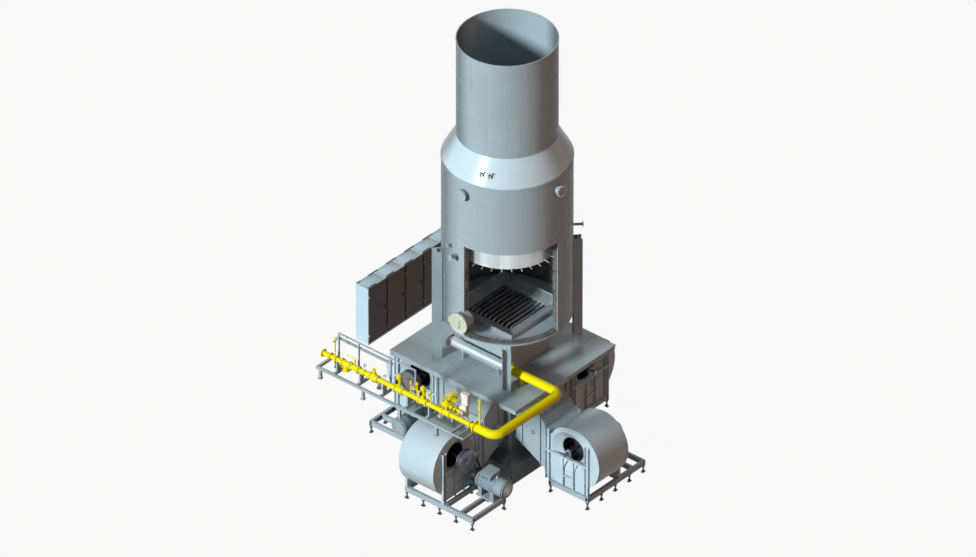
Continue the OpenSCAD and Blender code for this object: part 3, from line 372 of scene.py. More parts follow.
def burnt_steel(name):
    """Oxidised burner steel: three oxide colours in clouds, with scale flakes as bump."""
    material, tree, shader, coords = new_material(name)
    heat = noise(tree, coords, 2.6, 5, 0.6, 0.4)
    node = add_node(tree, "ShaderNodeValToRGB", heat)
    stops = node.color_ramp.elements
    stops[0].position, stops[0].color = 0.28, (0.10, 0.10, 0.11, 1)
    stops[1].position, stops[1].color = 0.74, (0.34, 0.29, 0.26, 1)
    middle = stops.new(0.5)
    middle.color = (0.20, 0.19, 0.21, 1)
    worn = mix_colour(tree, edge_mask(tree, 0.004), node.outputs[0], (0.22, 0.20, 0.19))
    flakes = noise(tree, coords, 46, 5, 0.7)
    fill(tree, shader, Base_Color=worn, Metallic=0.55,
         Roughness=grey_ramp(tree, flakes, 0.3, 0.7, 0.38, 0.66),
         Normal=bump(tree, flakes, 0.25, 0.003))
    return material


def tray_steel(name):
    """The tray's plate: blue-grey steel with soot that gathers towards the grate."""
    material, tree, shader, coords = new_material(name)
    soot = noise(tree, coords, 1.9, 5, 0.62, 0.3)
    tint = ramp(tree, soot, 0.34, 0.66, (0.34, 0.37, 0.40), (0.60, 0.66, 0.70))
    worn = mix_colour(tree, edge_mask(tree, 0.005), tint, (0.52, 0.56, 0.58))
    fill(tree, shader, Base_Color=worn, Metallic=0.35,
         Roughness=grey_ramp(tree, soot, 0.3, 0.7, 0.55, 0.34),
         Normal=bump(tree, noise(tree, coords, 60, 4), 0.10, 0.002))
    return material


def cast_iron(name, colour, metallic=0.0, gloss=0.5):
    """Painted casting: grainy skin from the sand mould under a coat of paint."""
    material, tree, shader, coords = new_material(name)
    sand = noise(tree, coords, 90, 4, 0.7)
    cloud = noise(tree, coords, 3.0, 4)
    tint = clouded(tree, cloud, colour, 0.14)
    worn = mix_colour(tree, edge_mask(tree, 0.005), tint, shade(colour, 1.8))
    fill(tree, shader, Base_Color=worn, Metallic=metallic,
         Roughness=grey_ramp(tree, sand, 0.3, 0.7, gloss - 0.08, gloss + 0.10),
         Normal=bump(tree, sand, 0.35, 0.002))
    return material


def refractory(name):
    """Cast refractory: dark crumbly grains, hairline cracks and paler worn bosses."""
    material, tree, shader, coords = new_material(name)
    crumbs = noise(tree, coords, 34, 6, 0.7)
    cloud = noise(tree, coords, 2.2, 5)
    tint = ramp(tree, cloud, 0.3, 0.7, (0.11, 0.11, 0.108), (0.25, 0.24, 0.225))
    cells = add_node(tree, "ShaderNodeTexVoronoi", feature="DISTANCE_TO_EDGE", Scale=3.1,
                     Vector=coords)
    crack = grey_ramp(tree, cells.outputs["Distance"], 0.0, 0.035, 1.0, 0.0)
    fill(tree, shader, Base_Color=mix_colour(tree, crack, tint, (0.018, 0.017, 0.016)),
         Roughness=0.92, Normal=bump(tree, crumbs, 0.6, 0.008))
    return material


def rubber(name, colour=(0.028, 0.028, 0.030)):
    """Moulded rubber: dull, with a faint bloom and a fine grain."""
    material, tree, shader, coords = new_material(name)
    bloom = noise(tree, coords, 8, 4)
    grain = noise(tree, coords, 220, 2)
    fill(tree, shader, Base_Color=ramp(tree, bloom, 0.35, 0.7, colour, shade(colour, 2.1)),
         Roughness=grey_ramp(tree, bloom, 0.3, 0.7, 0.62, 0.8),
         Normal=bump(tree, grain, 0.15, 0.001))
    return material


def zinc(name):
    """Zinc-plated fasteners: bright spangled patches with a dull passivated tint."""
    material, tree, shader, coords = new_material(name)
    cells = add_node(tree, "ShaderNodeTexVoronoi", Vector=coords, Scale=38.0)
    away = cells.outputs["Distance"]
    spangle = ramp(tree, away, 0.0, 0.6, (0.52, 0.54, 0.55), (0.72, 0.73, 0.72))
    fill(tree, shader, Base_Color=spangle, Metallic=0.85,
         Roughness=grey_ramp(tree, away, 0.0, 0.6, 0.30, 0.46))
    return material


MATERIALS |= {
    "dark_steel": rolled_metal("dark_steel", (0.20, 0.21, 0.23), (14, 60, 60), 0.36),
    "liner_steel": rolled_metal("liner_steel", (0.74, 0.79, 0.82), (16, 16, 1.2), 0.36, 0.35, 0.30),
    "header_steel": rolled_metal("header_steel", (0.66, 0.72, 0.75), (40, 2, 40), 0.36, 0.4),
    "burner_steel": burnt_steel("burner_steel"),
    "tray_steel": tray_steel("tray_steel"),
    "cast_block": cast_iron("cast_block", (0.22, 0.26, 0.29)),
    "refractory": refractory("refractory"),
    "mount_rubber": cast_iron("mount_foot", (0.10, 0.11, 0.115), 0.2, 0.55),
    "belt_rubber": rubber("belt_rubber"),
    "zinc_bolts": zinc("zinc_bolts"),
    "black_seal": rubber("black_seal", (0.016, 0.016, 0.017)),
}
print(len(MATERIALS), "finishes so far")

# %% Dress the frame
NODE_FINISH = {s["node"]: s["material_slot"] for s in frame["record"]["subparts"]}
# painted light and shade: the cone gets a lightened copy of the steel paint and the hopper a
# darkened copy
NODE_FINISH |= {"burner_tray": "tray_steel", "transition_cone": "lit_cone_paint",
                "air_hopper": "shaded_hopper_paint", "manhole_cover": "cover_paint"}
# painted light: the fan casings get the lightened copy of the steel paint
NODE_FINISH |= {f"fan_casing_{fan}": "lit_scroll_paint" for fan in range(1, 5)}


def wear_finish(node_object, finish):
    """Puts one finish in every slot of a mesh that the frame brought along."""
    slots = node_object.data.materials
    if len(slots) == 0:
        slots.append(finish)
    for i in range(len(slots)):
        slots[i] = finish


for node_name, node_object in NODES.items():
    wear_finish(node_object, MATERIALS[NODE_FINISH[node_name]])

# %% [markdown]
# Surfaces from arrays
#
# Every new piece is a surface worked out with numpy. A grid of points is one
# array of shape (rows, columns, 3), and a piece is a list of such grids laid
# end to end in one mesh. The helpers below hold the few shapes that the unit
# needs: a lathe, a tube along a path, a soft-edged block, and a way to copy
# any of them to many places at once.

# %% Grids, and meshes made of them


def quads(rows, columns, wrap_rows=False, wrap_columns=False):
    """Corner numbers of a grid's four-sided faces, as one array, wrapped where asked."""
    i = np.arange(rows if wrap_rows else rows - 1)
    j = np.arange(columns if wrap_columns else columns - 1)
    i, j = np.meshgrid(i, j, indexing="ij")
    up, right = (i + 1) % rows, (j + 1) % columns
    corners = [i * columns + j, up * columns + j, up * columns + right, i * columns + right]
    return np.stack(corners, -1).reshape(-1, 4)


def grid(points, wrap_rows=False, wrap_columns=False):
    """A part: points as one flat list, and the faces between them."""
    rows, columns = points.shape[:2]
    return points.reshape(-1, 3), quads(rows, columns, wrap_rows, wrap_columns)


def lathe(profile, sides=32):
    """Turns (radius, height) points about Z: x = r cos t, y = r sin t. Ends lie on the axis."""
    profile = np.array(profile, float)
    t = np.arange(sides) * 2 * np.pi / sides
    r, z = profile[:, 0][:, None], profile[:, 1][:, None]
    points = np.stack([r * np.cos(t), r * np.sin(t), z + 0 * t], -1)
    verts, faces = grid(points, wrap_columns=True)
    return verts, faces[:, ::-1]


def hoop(radius, section, sides=96):
    """Carries a closed (out, up) section round Z at a radius, as a seam, a ring or an eye."""
    section = np.array(section, float)
    t = np.arange(sides) * 2 * np.pi / sides
    r, z = radius + section[:, 0], section[:, 1]
    points = np.stack([np.cos(t)[:, None] * r, np.sin(t)[:, None] * r, z + 0 * t[:, None]], -1)
    return grid(points, True, True)


def drum(radius, low, high, sides):
    """A plain cylinder on Z between two heights."""
    return lathe([(0, low), (radius, low), (radius, high), (0, high)], sides)


def round_section(radius, sides=10):
    """A circle of (out, up) points for hoop()."""
    t = np.arange(sides) * 2 * np.pi / sides
    return np.stack([radius * np.cos(t), radius * np.sin(t)], -1)


def tube(path, radius, sides=12):
    """Carries a circle along a path; each ring lies square to the path's own direction."""
    path = np.array(path, float)
    ahead = np.gradient(path, axis=0)
    ahead /= np.linalg.norm(ahead, axis=1)[:, None]
    side = np.cross(ahead, [0.0, 0.0, 1.0])
    flat = np.linalg.norm(side, axis=1) < 1e-4
    side[flat] = np.cross(ahead[flat], [0.0, 1.0, 0.0])
    side /= np.linalg.norm(side, axis=1)[:, None]
    up = np.cross(side, ahead)
    t = np.arange(sides) * 2 * np.pi / sides
    ring = side[:, None] * np.cos(t)[:, None] + up[:, None] * np.sin(t)[:, None]
    # both ends close in a point on the path
    radii = np.array([0] + [radius] * len(path) + [0], float)
    path, ring = (np.concatenate([a[:1], a, a[-1:]]) for a in (path, ring))
    return grid(path[:, None] + ring * radii[:, None, None], wrap_columns=True)


def block(low, high, soft=0.004, turns=3):
    """A box with rounded edges: a ball's grid, pulled apart at its middle to the box's corners."""
    low, high = np.minimum(low, high).astype(float), np.maximum(low, high).astype(float)
    soft = min(soft, 0.45 * (high - low).min())
    n = 4 * turns
    t = np.concatenate([np.linspace(q, q + 90, turns) for q in range(0, 360, 90)])
    f = np.concatenate([np.linspace(-90, 0, turns), np.linspace(0, 90, turns)])
    t, f = np.radians(t)[None, :], np.radians(f)[:, None]
    ball = np.stack([np.cos(f) * np.cos(t), np.cos(f) * np.sin(t), np.sin(f) + 0 * t], -1)
    corner_x = np.repeat([1, -1, -1, 1], turns)
    corner_y = np.repeat([1, 1, -1, -1], turns)
    corner_z = np.repeat([-1, 1], turns)
    signs = np.stack([corner_x + 0 * f, corner_y + 0 * f, corner_z[:, None] + 0 * t], -1)
    half = (high - low) / 2 - soft
    points = signs * half + ball * soft
    verts, faces = grid(points, wrap_columns=True)
    # the flat top and bottom close the four-cornered holes at the poles
    ends = np.concatenate([points[0, ::-1], points[-1]])
    caps = [[len(verts) + e * n + k * turns for k in range(4)] for e in (0, 1)]
    return np.concatenate([verts, ends]) + (low + high) / 2, np.concatenate([faces, caps])


def frame_to(origin, axis=(0, 0, 1)):
    """A 4x4 matrix that takes +Z to axis and the origin to a point."""
    m = Vector(axis).to_track_quat("Z", "Y").to_matrix().to_4x4()
    m.translation = Vector(origin)
    return np.array(m)


def moved(part, matrix):
    verts, faces = part
    return verts @ matrix[:3, :3].T + matrix[:3, 3], faces


def copies(part, matrices):
    """One part set down at many places: one array product moves all the copies."""
    verts, faces = part
    m = np.array(matrices, float)
    all_verts = np.einsum("kij,vj->kvi", m[:, :3, :3], verts) + m[:, None, :3, 3]
    steps = np.arange(len(m))[:, None, None] * len(verts)
    return all_verts.reshape(-1, 3), (faces[None] + steps).reshape(-1, faces.shape[1])


def turned(degrees):
    """A turn about Z."""
    c, s = math.cos(math.radians(degrees)), math.sin(math.radians(degrees))
    m = np.eye(4)
    m[:2, :2] = [[c, -s], [s, c]]
    return m


def make_piece(name, parts, finish, body="root", smooth_angle=40):
    """Joins parts into one mesh, welds the seams, and lets it ride on a body."""
    verts, faces, start = [], [], 0
    for part_verts, part_faces in parts:
        verts.append(part_verts)
        faces.append(part_faces + start)
        start += len(part_verts)
    verts, faces = np.concatenate(verts), np.concatenate(faces)
    mesh = bpy.data.meshes.new(name)
    mesh.vertices.add(len(verts))
    mesh.vertices.foreach_set("co", verts.astype(np.float32).ravel())
    mesh.loops.add(faces.size)
    mesh.loops.foreach_set("vertex_index", faces.astype(np.int32).ravel())
    mesh.polygons.add(len(faces))
    mesh.polygons.foreach_set("loop_start", np.arange(0, faces.size, 4, dtype=np.int32))
    mesh.update(calc_edges=True)
    weld(mesh)
    mesh.set_sharp_from_angle(angle=math.radians(smooth_angle))
    mesh.materials.append(MATERIALS[finish])
    made = bpy.data.objects.new(name, mesh)
    bpy.context.scene.collection.objects.link(made)
    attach(made, body)
    print(name, len(mesh.polygons), "faces")
    return made


def weld(mesh, distance=1e-5):
    """Merges doubled points, drops faces with no area and turns every face outwards."""
    bm = bmesh.new()
    bm.from_mesh(mesh)
    bmesh.ops.remove_doubles(bm, verts=bm.verts, dist=distance)
    bmesh.ops.dissolve_degenerate(bm, edges=bm.edges, dist=distance / 10)
    bmesh.ops.recalc_face_normals(bm, faces=bm.faces)
    for face in bm.faces:
        face.smooth = True
    bm.to_mesh(mesh)
    bm.free()
    mesh.update()


# %% [markdown]
# Nuts and bolts
#
# A flange without its bolts looks like a toy. A nut is a lathe of six sides
# whose top is chamfered, with the bolt's round end standing through it. Bolts
# come by the hundred here, so each has only a few dozen faces and a circle of
# them is one array product.

# %% Fasteners


def nut(across, height, stud=0.35):
    """A hexagon nut on +Z with its stud's end: across is the distance over two corners."""
    r, c = across / 2, across * 0.09
    body = lathe([(0, 0), (r, 0), (r, height - c), (r - c, height), (0, height)], 6)
    s = r * 0.56
    end = lathe([(0, height - 0.001), (s, height - 0.001), (s, height + stud * across),
                 (s * 0.7, height + stud * across + c), (0, height + stud * across + c)], 10)
    return body[0], body[1], end


def nuts_at(places, across, height, stud=0.35):
    """Nuts and studs on a list of (origin, axis) pairs."""
    verts, faces, end = nut(across, height, stud)
    matrices = [frame_to(o, a) for o, a in places]
    return [copies((verts, faces), matrices), copies(end, matrices)]


def circle_of(origin, axis, radius, count, phase=0.5):
    """Places on a circle square to an axis, each with the same direction."""
    m = frame_to(origin, axis)
    t = (np.arange(count) + phase) * 2 * math.pi / count
    ring = np.stack([radius * np.cos(t), radius * np.sin(t), 0 * t], -1)
    return [(m[:3, :3] @ p + m[:3, 3], axis) for p in ring]


print("a nut has", len(nut(0.03, 0.02)[1]), "faces")

# %% Measures taken from the frame
STACK_LOW, STACK_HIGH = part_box("exhaust_stack")
SHELL_LOW, SHELL_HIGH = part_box("outer_shell")
FLOOR_LOW, FLOOR_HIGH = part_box("chamber_floor")
DECK_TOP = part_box("deck_plate")[1].z
SHELL_R = 2.185
STACK_R = 1.690
WINDOW_Z = FLOOR_HIGH.z + 3.57
print("shell from", round(SHELL_LOW.z, 3), "to", round(SHELL_HIGH.z, 3))

# %% [markdown]
# Weld seams
#
# The shell is rolled from plates, and where two plates meet the welder leaves
# a low bead with a ripple every few millimetres. Ring seams run round the
# chamber and the stack, and upright seams are staggered from course to
# course. A bead is a flat half-round section carried along its line, with its
# height waved a little, and it stands only 4 mm proud.

# %% Seams on the shell and the stack
BEAD_W, BEAD_H = 0.014, 0.005


def bead_arc(radius, z, start, stop, step=0.004):
    """A bead round the axis between two angles in degrees, rippled along its length."""
    n = max(24, int(abs(stop - start) / 360 * 900))
    t = np.radians(np.linspace(start, stop, n))[:, None]
    s = np.linspace(0, np.pi, 6)[None, :]
    ripple = 1 + 0.18 * np.cos(t * radius / step)
    r = radius - 0.001 + np.sin(s) * BEAD_H * ripple
    points = np.stack([r * np.cos(t), r * np.sin(t), z - np.cos(s) * BEAD_W + 0 * t], -1)
    return grid(points)


def bead_up(radius, angle, low, high, step=0.004):
    """An upright bead on the shell at one angle, between two heights."""
    n = max(16, int((high - low) / 0.02))
    z = np.linspace(low, high, n)[:, None]
    s = np.linspace(0, np.pi, 6)[None, :]
    ripple = 1 + 0.18 * np.cos(z / step)
    r = radius - 0.001 + np.sin(s) * BEAD_H * ripple
    t = math.radians(angle) + np.cos(s) * BEAD_W / radius
    return grid(np.stack([r * np.cos(t), r * np.sin(t), z + 0 * s], -1))


def shell_seams():
    """Ring seams, with the window's quarter left out below its top, and staggered uprights."""
    parts = []
    courses = [FLOOR_HIGH.z + 1.75, WINDOW_Z + 0.24, SHELL_HIGH.z - 1.15]
    for z in courses:
        if z < WINDOW_Z:
            parts.append(bead_arc(SHELL_R, z, -89.4, 179.4))
        else:
            parts.append(bead_arc(SHELL_R, z, 0, 360))
    edges = [FLOOR_HIGH.z + 0.02] + courses + [SHELL_HIGH.z - 0.07]
    for i in range(4):
        for turn in range(3):
            angle = 28 + 47 * i + 120 * turn
            in_window = 178 < angle % 360 < 272 and edges[i] < WINDOW_Z
            if not in_window:
                parts.append(bead_up(SHELL_R, angle, edges[i] + 0.02, edges[i + 1] - 0.02))
    return parts


def stack_seams():
    """Two ring seams and one staggered upright in each course of the stack."""
    z0, z1 = STACK_LOW.z + 0.05, STACK_HIGH.z - 0.08
    rings = [z0 + (z1 - z0) * f for f in (1 / 3, 2 / 3)]
    parts = [bead_arc(STACK_R, z, 0, 360) for z in rings]
    edges = [z0] + rings + [z1]
    for i in range(3):
        for turn in range(2):
            parts.append(bead_up(STACK_R, 205 + 75 * i + 180 * turn, edges[i] + 0.02,
                                 edges[i + 1] - 0.02))
    return parts


make_piece("shell_weld_seams", shell_seams() + stack_seams(), "steel_paint")

# %% [markdown]
# Bolts on the big flanges
#
# The manhole cover, the two inspection ports and the gas header are closed by
# bolted flanges. Each circle of nuts is worked out from its flange, so it
# lands in the flange's own bolt line, and the cover's nuts swing away with
# the cover.

# %% Flange bolts
MANHOLE_Z = FLOOR_HIGH.z + 0.65
COVER_FACE_X, COVER_BOLT_R, COVER_RING_R = -2.4903, 0.342, 0.296
HINGE_CLEAR = 0.335
HEADER_X, GAS_Z = -1.25, 4.54
HEADER_END = 1.418
HEADER_BOLT_R, JOINT_BOLT_R = 0.195, 0.200
MAIN_JOINT_Y, JOINT_HALF = -1.14, 0.03
TRAIN_X = -4.54
PORT_REACH, PORT_DOWN, PORT_BOLT_R = 0.173, 0.49, 0.185

cover_nuts = [p for p in circle_of([COVER_FACE_X, 0, MANHOLE_Z], (-1, 0, 0), COVER_BOLT_R, 16)
              if abs(p[0][1]) < HINGE_CLEAR]
make_piece("manhole_bolts", nuts_at(cover_nuts, 0.038, 0.020), "zinc_bolts", "manhole_cover")
rim = [(0, 0), (0.010, 0), (0.013, 0.004), (0.010, 0.009), (0, 0.009)]
cover_rim = moved(hoop(COVER_RING_R, rim),
                  frame_to([COVER_FACE_X + 0.001, 0, MANHOLE_Z], (-1, 0, 0)))
make_piece("manhole_cover_ring", [cover_rim], "pale_paint", "manhole_cover")

port_z = SHELL_HIGH.z - PORT_DOWN
port_nuts = []
for axis in ((-1, 0, 0), (0, -1, 0)):
    centre = np.array(axis) * (SHELL_R + PORT_REACH) + [0, 0, port_z]
    port_nuts += circle_of(centre, axis, PORT_BOLT_R, 12)
make_piece("port_bolts", nuts_at(port_nuts, 0.034, 0.018), "zinc_bolts")

header_nuts = circle_of([HEADER_X, HEADER_END, GAS_Z], (0, 1, 0), HEADER_BOLT_R, 12)
header_nuts += circle_of([HEADER_X, MAIN_JOINT_Y + JOINT_HALF, GAS_Z], (0, 1, 0), JOINT_BOLT_R, 12)
header_nuts += circle_of([HEADER_X, MAIN_JOINT_Y - JOINT_HALF - 0.0003, GAS_Z], (0, -1, 0),
                         JOINT_BOLT_R, 12)
make_piece("header_bolts", nuts_at(header_nuts, 0.040, 0.022), "zinc_bolts")

# %% [markdown]
# The gas train's flanges
#
# Valves are not glued to the pipe: each end has a flange, a dark gasket and
# the pipe's own flange with a tapered neck, pulled together by studs. The
# dark gasket lines are what makes the yellow row readable from afar.

# %% Pipe flanges, gaskets and studs
PIPE_R = 0.084
FLANGE_R, FLANGE_T, NECK_T, GASKET_T = 0.139, 0.022, 0.030, 0.004
STRAINER_Y, ISOLATING_Y, REGULATOR_Y, CONTROL_Y = 3.11, 2.72, 1.895, -1.25
ACT_Y = [0.81, -0.235]
VALVES_Y = [STRAINER_Y, ISOLATING_Y, REGULATOR_Y, *ACT_Y, CONTROL_Y]
STUD_R = 0.119
VALVE_HALF, VALVE_FLANGE_T = 0.160, 0.026
neck_profile = [(PIPE_R - 0.006, 0), (FLANGE_R - 0.003, 0), (FLANGE_R, 0.003),
                (FLANGE_R, FLANGE_T - 0.003), (FLANGE_R - 0.003, FLANGE_T),
                (PIPE_R + 0.022, FLANGE_T), (PIPE_R + 0.004, NECK_T), (PIPE_R - 0.006, NECK_T)]
gasket_profile = [(PIPE_R, 0), (FLANGE_R - 0.006, 0), (FLANGE_R - 0.006, GASKET_T),
                  (PIPE_R, GASKET_T)]


def closed_lathe(profile, sides=48):
    """A ring: the profile's last point joins its first, so the turned solid is closed."""
    return lathe(list(profile) + [profile[0]], sides)


def train_ends():
    """Both ends of every valve in the row, as (point on the axis, outward direction)."""
    return [((TRAIN_X, y + s * VALVE_HALF, GAS_Z), (0, s, 0)) for y in VALVES_Y for s in (-1, 1)]


gaskets = copies(closed_lathe(gasket_profile), [frame_to(p, a) for p, a in train_ends()])
necks, studs = [], []
for point, axis in train_ends():
    point, axis = np.array(point), np.array(axis)
    step = point + GASKET_T * axis
    necks.append(frame_to(step, axis))
    studs += circle_of(step + FLANGE_T * axis, axis, STUD_R, 8)
    studs += circle_of(point - VALVE_FLANGE_T * axis, -axis, STUD_R, 8)
make_piece("train_gaskets", [gaskets], "black_seal")
make_piece("train_flanges", [copies(closed_lathe(neck_profile), necks)], "yellow_paint")
make_piece("train_studs", nuts_at(studs, 0.024, 0.013, 0.5), "zinc_bolts")

# %% [markdown]
# Instruments
#
# A pressure gauge is a shallow drum with a rolled rim, a white dial and a
# pane. The dial carries plain graduation ticks and a needle, no lettering.
# Handles on the small vent valves are dipped in pinkish plastic, which is the
# only other colour on the train.

# %% Gauges and small valve handles


def plastic(name, colour, gloss):
    """Moulded plastic: an even colour with faint flow marks and a soft grain."""
    material, tree, shader, coords = new_material(name)
    flow = noise(tree, stretched(tree, coords, (6, 6, 18)), 1.0, 3)
    fill(tree, shader, Base_Color=clouded(tree, flow, colour, 0.06),
         Roughness=grey_ramp(tree, flow, 0.3, 0.7, gloss - 0.05, gloss + 0.08),
         Normal=bump(tree, noise(tree, coords, 300, 2), 0.06, 0.001))
    return material


def clear_glass(name):
    """A thin pane: fully clear, with only its gloss and a little dust to be seen."""
    material, tree, shader, coords = new_material(name)
    dust = noise(tree, coords, 60, 4)
    fill(tree, shader, Roughness=grey_ramp(tree, dust, 0.4, 0.8, 0.03, 0.16),
         Transmission_Weight=1.0, IOR=1.1)
    return material


MATERIALS |= {
    "dial_white": plastic("dial_white", (0.86, 0.86, 0.84), 0.4),
    "dial_black": plastic("dial_black", (0.02, 0.02, 0.02), 0.4),
    "grip_pink": plastic("grip_pink", (0.78, 0.26, 0.24), 0.36),
    "pane": clear_glass("pane"),
}
GAUGE_R = 0.060
gauge_drum = lathe([(0, -0.022), (GAUGE_R - 0.004, -0.022), (GAUGE_R, -0.018), (GAUGE_R, 0.008),
                    (GAUGE_R + 0.004, 0.012), (GAUGE_R, 0.018), (GAUGE_R - 0.006, 0.014),
                    (GAUGE_R - 0.007, 0.002), (0, 0.002)], 40)
gauge_pane = drum(GAUGE_R - 0.006, 0.010, 0.013, 40)
gauge_dial = drum(GAUGE_R - 0.008, 0.0025, 0.0045, 40)


def gauge_marks():
    """Eleven ticks over three quarters of the dial, a needle and its hub."""
    parts = []
    for i in range(11):
        tick = block((0.038, -0.0012, 0.004), (0.048, 0.0012, 0.0056), 0.0003)
        parts.append(moved(tick, turned(225 - 27 * i)))
    needle = block((-0.012, -0.0014, 0.006), (0.040, 0.0014, 0.0075), 0.0004)
    parts.append(moved(needle, turned(150)))
    parts.append(drum(0.006, 0.004, 0.009, 16))
    return parts


FACE = (-0.90, -0.25, 0.30)
GAUGES = [(TRAIN_X, 2.30, 0.30), (TRAIN_X, 1.42, 0.27), (TRAIN_X, 0.20, 0.34),
          (TRAIN_X, -1.90, 0.30)]
gauge_at = [frame_to((x, y, GAS_Z + h), FACE) for x, y, h in GAUGES]
make_piece("gauge_cases", [copies(gauge_drum, gauge_at)], "header_steel")
make_piece("gauge_dials", [copies(gauge_dial, gauge_at)], "dial_white")
make_piece("gauge_marks", [moved(p, m) for m in gauge_at for p in gauge_marks()], "dial_black")
make_piece("gauge_panes", [copies(gauge_pane, gauge_at)], "pane")
stems = []
for x, y, h in GAUGES:
    z = GAS_Z + h - GAUGE_R + 0.004
    stems.append(tube([(x, y, GAS_Z + PIPE_R - 0.01), (x, y, z - 0.06), (x, y, z)], 0.011))
    stems.append(moved(drum(0.020, 0, 0.03, 6), frame_to((x, y, GAS_Z + PIPE_R + 0.03))))
    stems.append(moved(drum(0.020, 0, 0.024, 6), frame_to((x, y, z - 0.030))))
make_piece("gauge_stems", stems, "header_steel")

VENTS = [(3.59, 0.80), (0.29, 0.56), (0.02, 0.62), (-0.56, 0.52)]
grips = []
for y, height in VENTS:
    z = GAS_Z + height - 0.085
    for s in (-1, 1):
        grips.append(tube([(TRAIN_X + s * 0.045, y, z), (TRAIN_X + s * 0.105, y, z)], 0.019, 14))
make_piece("vent_grips", grips, "grip_pink")

# %% [markdown]
# Actuators and diaphragm valves
#
# The shut-off valves are worked by air: a tall cylinder with ribs at both
# ends, a position cap and a small solenoid block on its side. The control
# valves have a domed diaphragm case, clamped by a circle of bolts.

# %% Actuators
ACT_R = 0.090
act_band = [(0, -0.012), (0.008, -0.012), (0.012, 0), (0.008, 0.012), (0, 0.012)]
bands, blocks, act_bolts = [], [], []
for y in ACT_Y:
    for height in (0.215, 0.37, 0.525):
        bands.append(moved(hoop(ACT_R - 0.002, act_band, 48),
                           frame_to((TRAIN_X, y, GAS_Z + height))))
    bands.append(moved(lathe([(0, 0), (0.034, 0), (0.034, 0.03), (0.02, 0.045), (0, 0.047)], 24),
                       frame_to((TRAIN_X, y, GAS_Z + 0.588))))
    blocks.append(block((TRAIN_X - 0.155, y - 0.035, GAS_Z + 0.30),
                        (TRAIN_X - 0.082, y + 0.035, GAS_Z + 0.41), 0.008))
    blocks.append(tube([(TRAIN_X - 0.118, y, GAS_Z + 0.40), (TRAIN_X - 0.118, y, GAS_Z + 0.46)],
                       0.022, 16))
    act_bolts += circle_of((TRAIN_X, y, GAS_Z + 0.540), (0, 0, 1), 0.074, 6)
make_piece("actuator_bands", bands, "yellow_paint")
make_piece("solenoid_blocks", blocks, "dial_black")
make_piece("actuator_bolts", nuts_at(act_bolts, 0.017, 0.010), "zinc_bolts")

CV_X = [TRAIN_X, TRAIN_X + 0.33]
CASE_BOLT_R = 0.184
REGULATOR_R = 0.156
case_nuts = []
for x in CV_X:
    case_nuts += circle_of((x, CONTROL_Y, GAS_Z + 0.392), (0, 0, 1), CASE_BOLT_R, 14)
    case_nuts += circle_of((x, CONTROL_Y, GAS_Z + 0.369), (0, 0, -1), CASE_BOLT_R, 14)
make_piece("diaphragm_bolts", nuts_at(case_nuts, 0.018, 0.010), "zinc_bolts")
regulator_rim = hoop(REGULATOR_R, [(-0.01, -0.012), (0.012, -0.012), (0.014, 0), (0.012, 0.012),
                                   (-0.01, 0.012)], 72)
reg_nuts = circle_of((TRAIN_X, REGULATOR_Y, GAS_Z + 0.012), (0, 0, 1), REGULATOR_R + 0.002, 16)
regulator_rim = moved(regulator_rim, frame_to((TRAIN_X, REGULATOR_Y, GAS_Z)))
make_piece("regulator_rim", [regulator_rim], "yellow_paint")
make_piece("regulator_bolts", nuts_at(reg_nuts, 0.012, 0.008), "zinc_bolts")

# %% [markdown]
# Junction boxes
#
# A junction box is a cream tin with a lid that overlaps it, four lid screws
# and two cable glands underneath, closed by plugs.

# %% Junction box details
BOXES = [(-4.10, 4.35), (-4.02, 4.73)]
lid_screws, glands = [], []
for x, z in BOXES:
    for y in (-1.69, -1.45):
        for up in (0.03, 0.39):
            lid_screws.append(((x - 0.008, y, z + up), (-1, 0, 0)))
    for y in (-1.64, -1.50):
        glands.append(((x + 0.08, y, z + 0.001), (0, 0, -1)))
make_piece("junction_box_screws", nuts_at(lid_screws, 0.018, 0.007, 0.15), "zinc_bolts")
make_piece("junction_box_glands", nuts_at(glands, 0.042, 0.022, 0.3), "dial_black")

# %% [markdown]
# Fans and motors
#
# The four fans are turned copies of one, so their trim is worked out once and
# then copied with the same quarter turns. The motor's cowl has a wire grille
# over its cooling fan, the terminal box gets a sloping lid, and the bearing
# housings are bolted to their beam with a grease nipple on top.

# %% Fan and motor trim
SHAFT_Y, SHAFT_Z = -3.34, 1.90
MOTOR_Y, MOTOR_Z = -2.74, 0.97
MOTOR_X0, MOTOR_L = 1.205, 1.15
CASING_HALF = 0.75
FLANGE_Y = -2.35
TURNS = [np.round(turned(-90 * k)) + 0.0 for k in range(4)]


def four(parts):
    """The same parts on all four fans."""
    return [copies(p, TURNS) for p in parts]


def four_nuts(places, across, height, stud=0.35):
    return four(nuts_at(places, across, height, stud))


motor_end = MOTOR_X0 + MOTOR_L - 0.012
wires = [hoop(r, round_section(0.0032, 6), 56) for r in (0.035, 0.070, 0.105, 0.140, 0.175, 0.204)]
for i in range(4):
    a = math.pi * i / 4
    reach = 0.207 * np.array([math.cos(a), math.sin(a), 0])
    wires.append(tube([-reach + [0, 0, 0.003], [0, 0, 0.0045], reach + [0, 0, 0.003]], 0.0035, 8))
grille = [moved(w, frame_to((motor_end + 0.003, MOTOR_Y, MOTOR_Z), (1, 0, 0))) for w in wires]
make_piece("motor_grilles", four(grille), "zinc_bolts")


def sloping_lid(low, high, drop):
    """A flared lid: a soft block whose top leans, lower by drop at its low y side."""
    verts, faces = block(low, high, 0.010)
    share = (verts[:, 1] - low[1]) / (high[1] - low[1])
    lifted = verts.copy()
    lifted[:, 2] += np.where(verts[:, 2] > (low[2] + high[2]) / 2, -drop * (1 - share), 0)
    return lifted, faces


